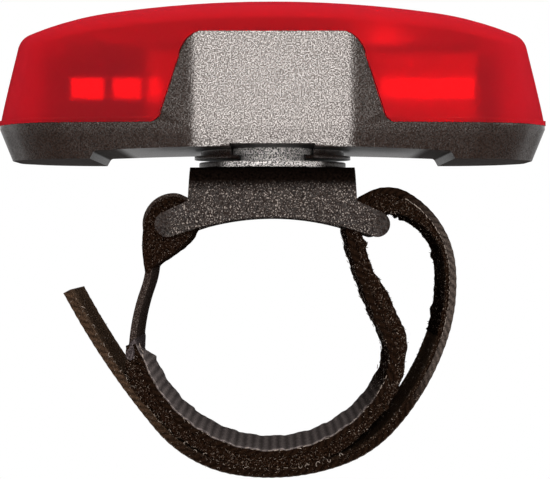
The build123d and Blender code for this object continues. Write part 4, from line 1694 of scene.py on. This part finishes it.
    def threads(self, shapes: Pieces) -> list[tuple[bpy.types.Object, Slot]]:
        """Lays threads along the strap's edges and over its seam.

        Args:
            shapes: the threads to copy by name.

        Returns:
            The pieces, each with its slot.
        """
        cloths = (self.materials[Slot.THREAD], self.seam_cloth)
        rows = [
            (trim.name, trim.line(), trim.shape, trim.spacing, trim.lean, trim.seed, cloths[0])
            for trim in TRIMS
        ]
        rows += [
            (f"seam_row_{index}", self.seam_line(run), "dash", SEAM_SPACING, SEAM_LEAN, index,
             cloths[1])
            for index, run in enumerate(SEAM_RUNS)
        ]
        selvedge = Selvedge("selvedge", SELVEDGE_SIZES)
        laid = []
        for name, points, shape, spacing, lean, seed, cloth in rows:
            mesh = bpy.data.meshes.new(f"{name}_line")
            mesh.from_pydata(points, [(index, index + 1) for index in range(len(points) - 1)], [])
            piece = selvedge.cover(
                bare(f"{name}_line", mesh), name, shape=shapes[shape], amount=spacing * MM,
                seed=seed, lean=lean, cloth=cloth,
            )
            laid.append((piece, Slot.THREAD))
        return laid

    def dress(
        self, piece: bpy.types.Object, cloth: bpy.types.Material, node: str
    ) -> None:
        """Gives a layer its cloth and lets it stand for its CAD node.

        Args:
            piece: the layer.
            cloth: its material.
            node: the CAD node.
        """
        piece.data.materials.append(cloth)
        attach(piece, "bracket")
        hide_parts(node)

    def build(self) -> list[bpy.types.Object]:
        """Makes the strap's pieces and lets them stand for the CAD layers.

        Returns:
            The pieces.
        """
        beds = {layer.name: layer.build() for layer in self.layers()}
        pile = self.materials[Slot.PILE_FABRIC]
        for bed, cloth in ((beds["eye_fill"], pile), (beds["seam_fold"], self.fold_cloth)):
            bed.data.materials.append(cloth)
            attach(bed, "bracket")
        self.dress(beds["strap_weave"], self.web_cloth, "strap_web")
        self.dress(beds["loop_bed"], pile, "loop_pile")
        self.dress(beds["hook_bed"], self.hook_cloth, "hook_pile")
        shapes = {name: fibre(name, *sizes) for name, sizes in FIBRES.items()}
        fibres = self.tufts(beds, shapes) + self.threads(shapes)
        for piece, slot in fibres:
            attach(piece, "bracket")
            if piece.name == "seam_row_0":
                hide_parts("seam_stitches")
        for shape in shapes.values():
            bpy.data.objects.remove(shape)
        return [*beds.values(), *(piece for piece, _ in fibres)]


def plain(values: object) -> object:
    """Turns nested vectors into plain lists.

    Args:
        values: a number, or a sequence of them at any depth.

    Returns:
        The same values as floats and lists.
    """
    if isinstance(values, (int, float)):
        return float(values)
    return [plain(value) for value in values]


def main() -> None:
    """Builds the whole scene on the loaded frame."""
    logging.basicConfig(level=logging.INFO)
    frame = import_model()
    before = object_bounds()
    materials = {slot: paint(slot, finish).material for slot, finish in FINISHES.items()}
    materials[Slot.LENS_RED] = Frosting().paint()
    # Materials of nodes' own, and lighter ones for rounded edges as a painted highlight.
    own, edge_highlights = (
        {name: paint(NODE_SLOTS[name], finish).material for name, finish in finishes.items()}
        for finishes in (OWN_FINISHES, EDGE_HIGHLIGHT_FINISHES)
    )
    for name, slot in NODE_SLOTS.items():
        node = frame["nodes"][name]
        node.data.materials.clear()
        node.data.materials.append(own.get(name, materials[slot]))
    pieces = []
    for shell in SHELLS:
        name, body = shell.name, shell.body
        piece = shell.build(frame["nodes"][name], edge_highlights.get(name))
        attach(piece, body)
        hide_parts(name)
        pieces.append(piece)
    pieces += Strap(
        materials,
        web_cloth=weave(Slot.WEB_FABRIC, replace(FINISHES[Slot.WEB_FABRIC], dyed=True)),
        hook_cloth=paint(Slot.PILE_FABRIC, replace(OWN_FINISHES["hook_pile"], dyed=True)).material,
        fold_cloth=paint(Slot.PILE_FABRIC, FOLD_FINISH).material,
        seam_cloth=own["seam_stitches"],
    ).build()
    set_stage()
    {"load": plain(before), "finish": plain(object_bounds())}
    for piece in pieces:
        LOG.info("made %s with %d faces", piece.name, len(piece.data.polygons))
    LOG.info("built %d nodes", len(NODE_SLOTS))


if __name__ == "__main__":
    main()
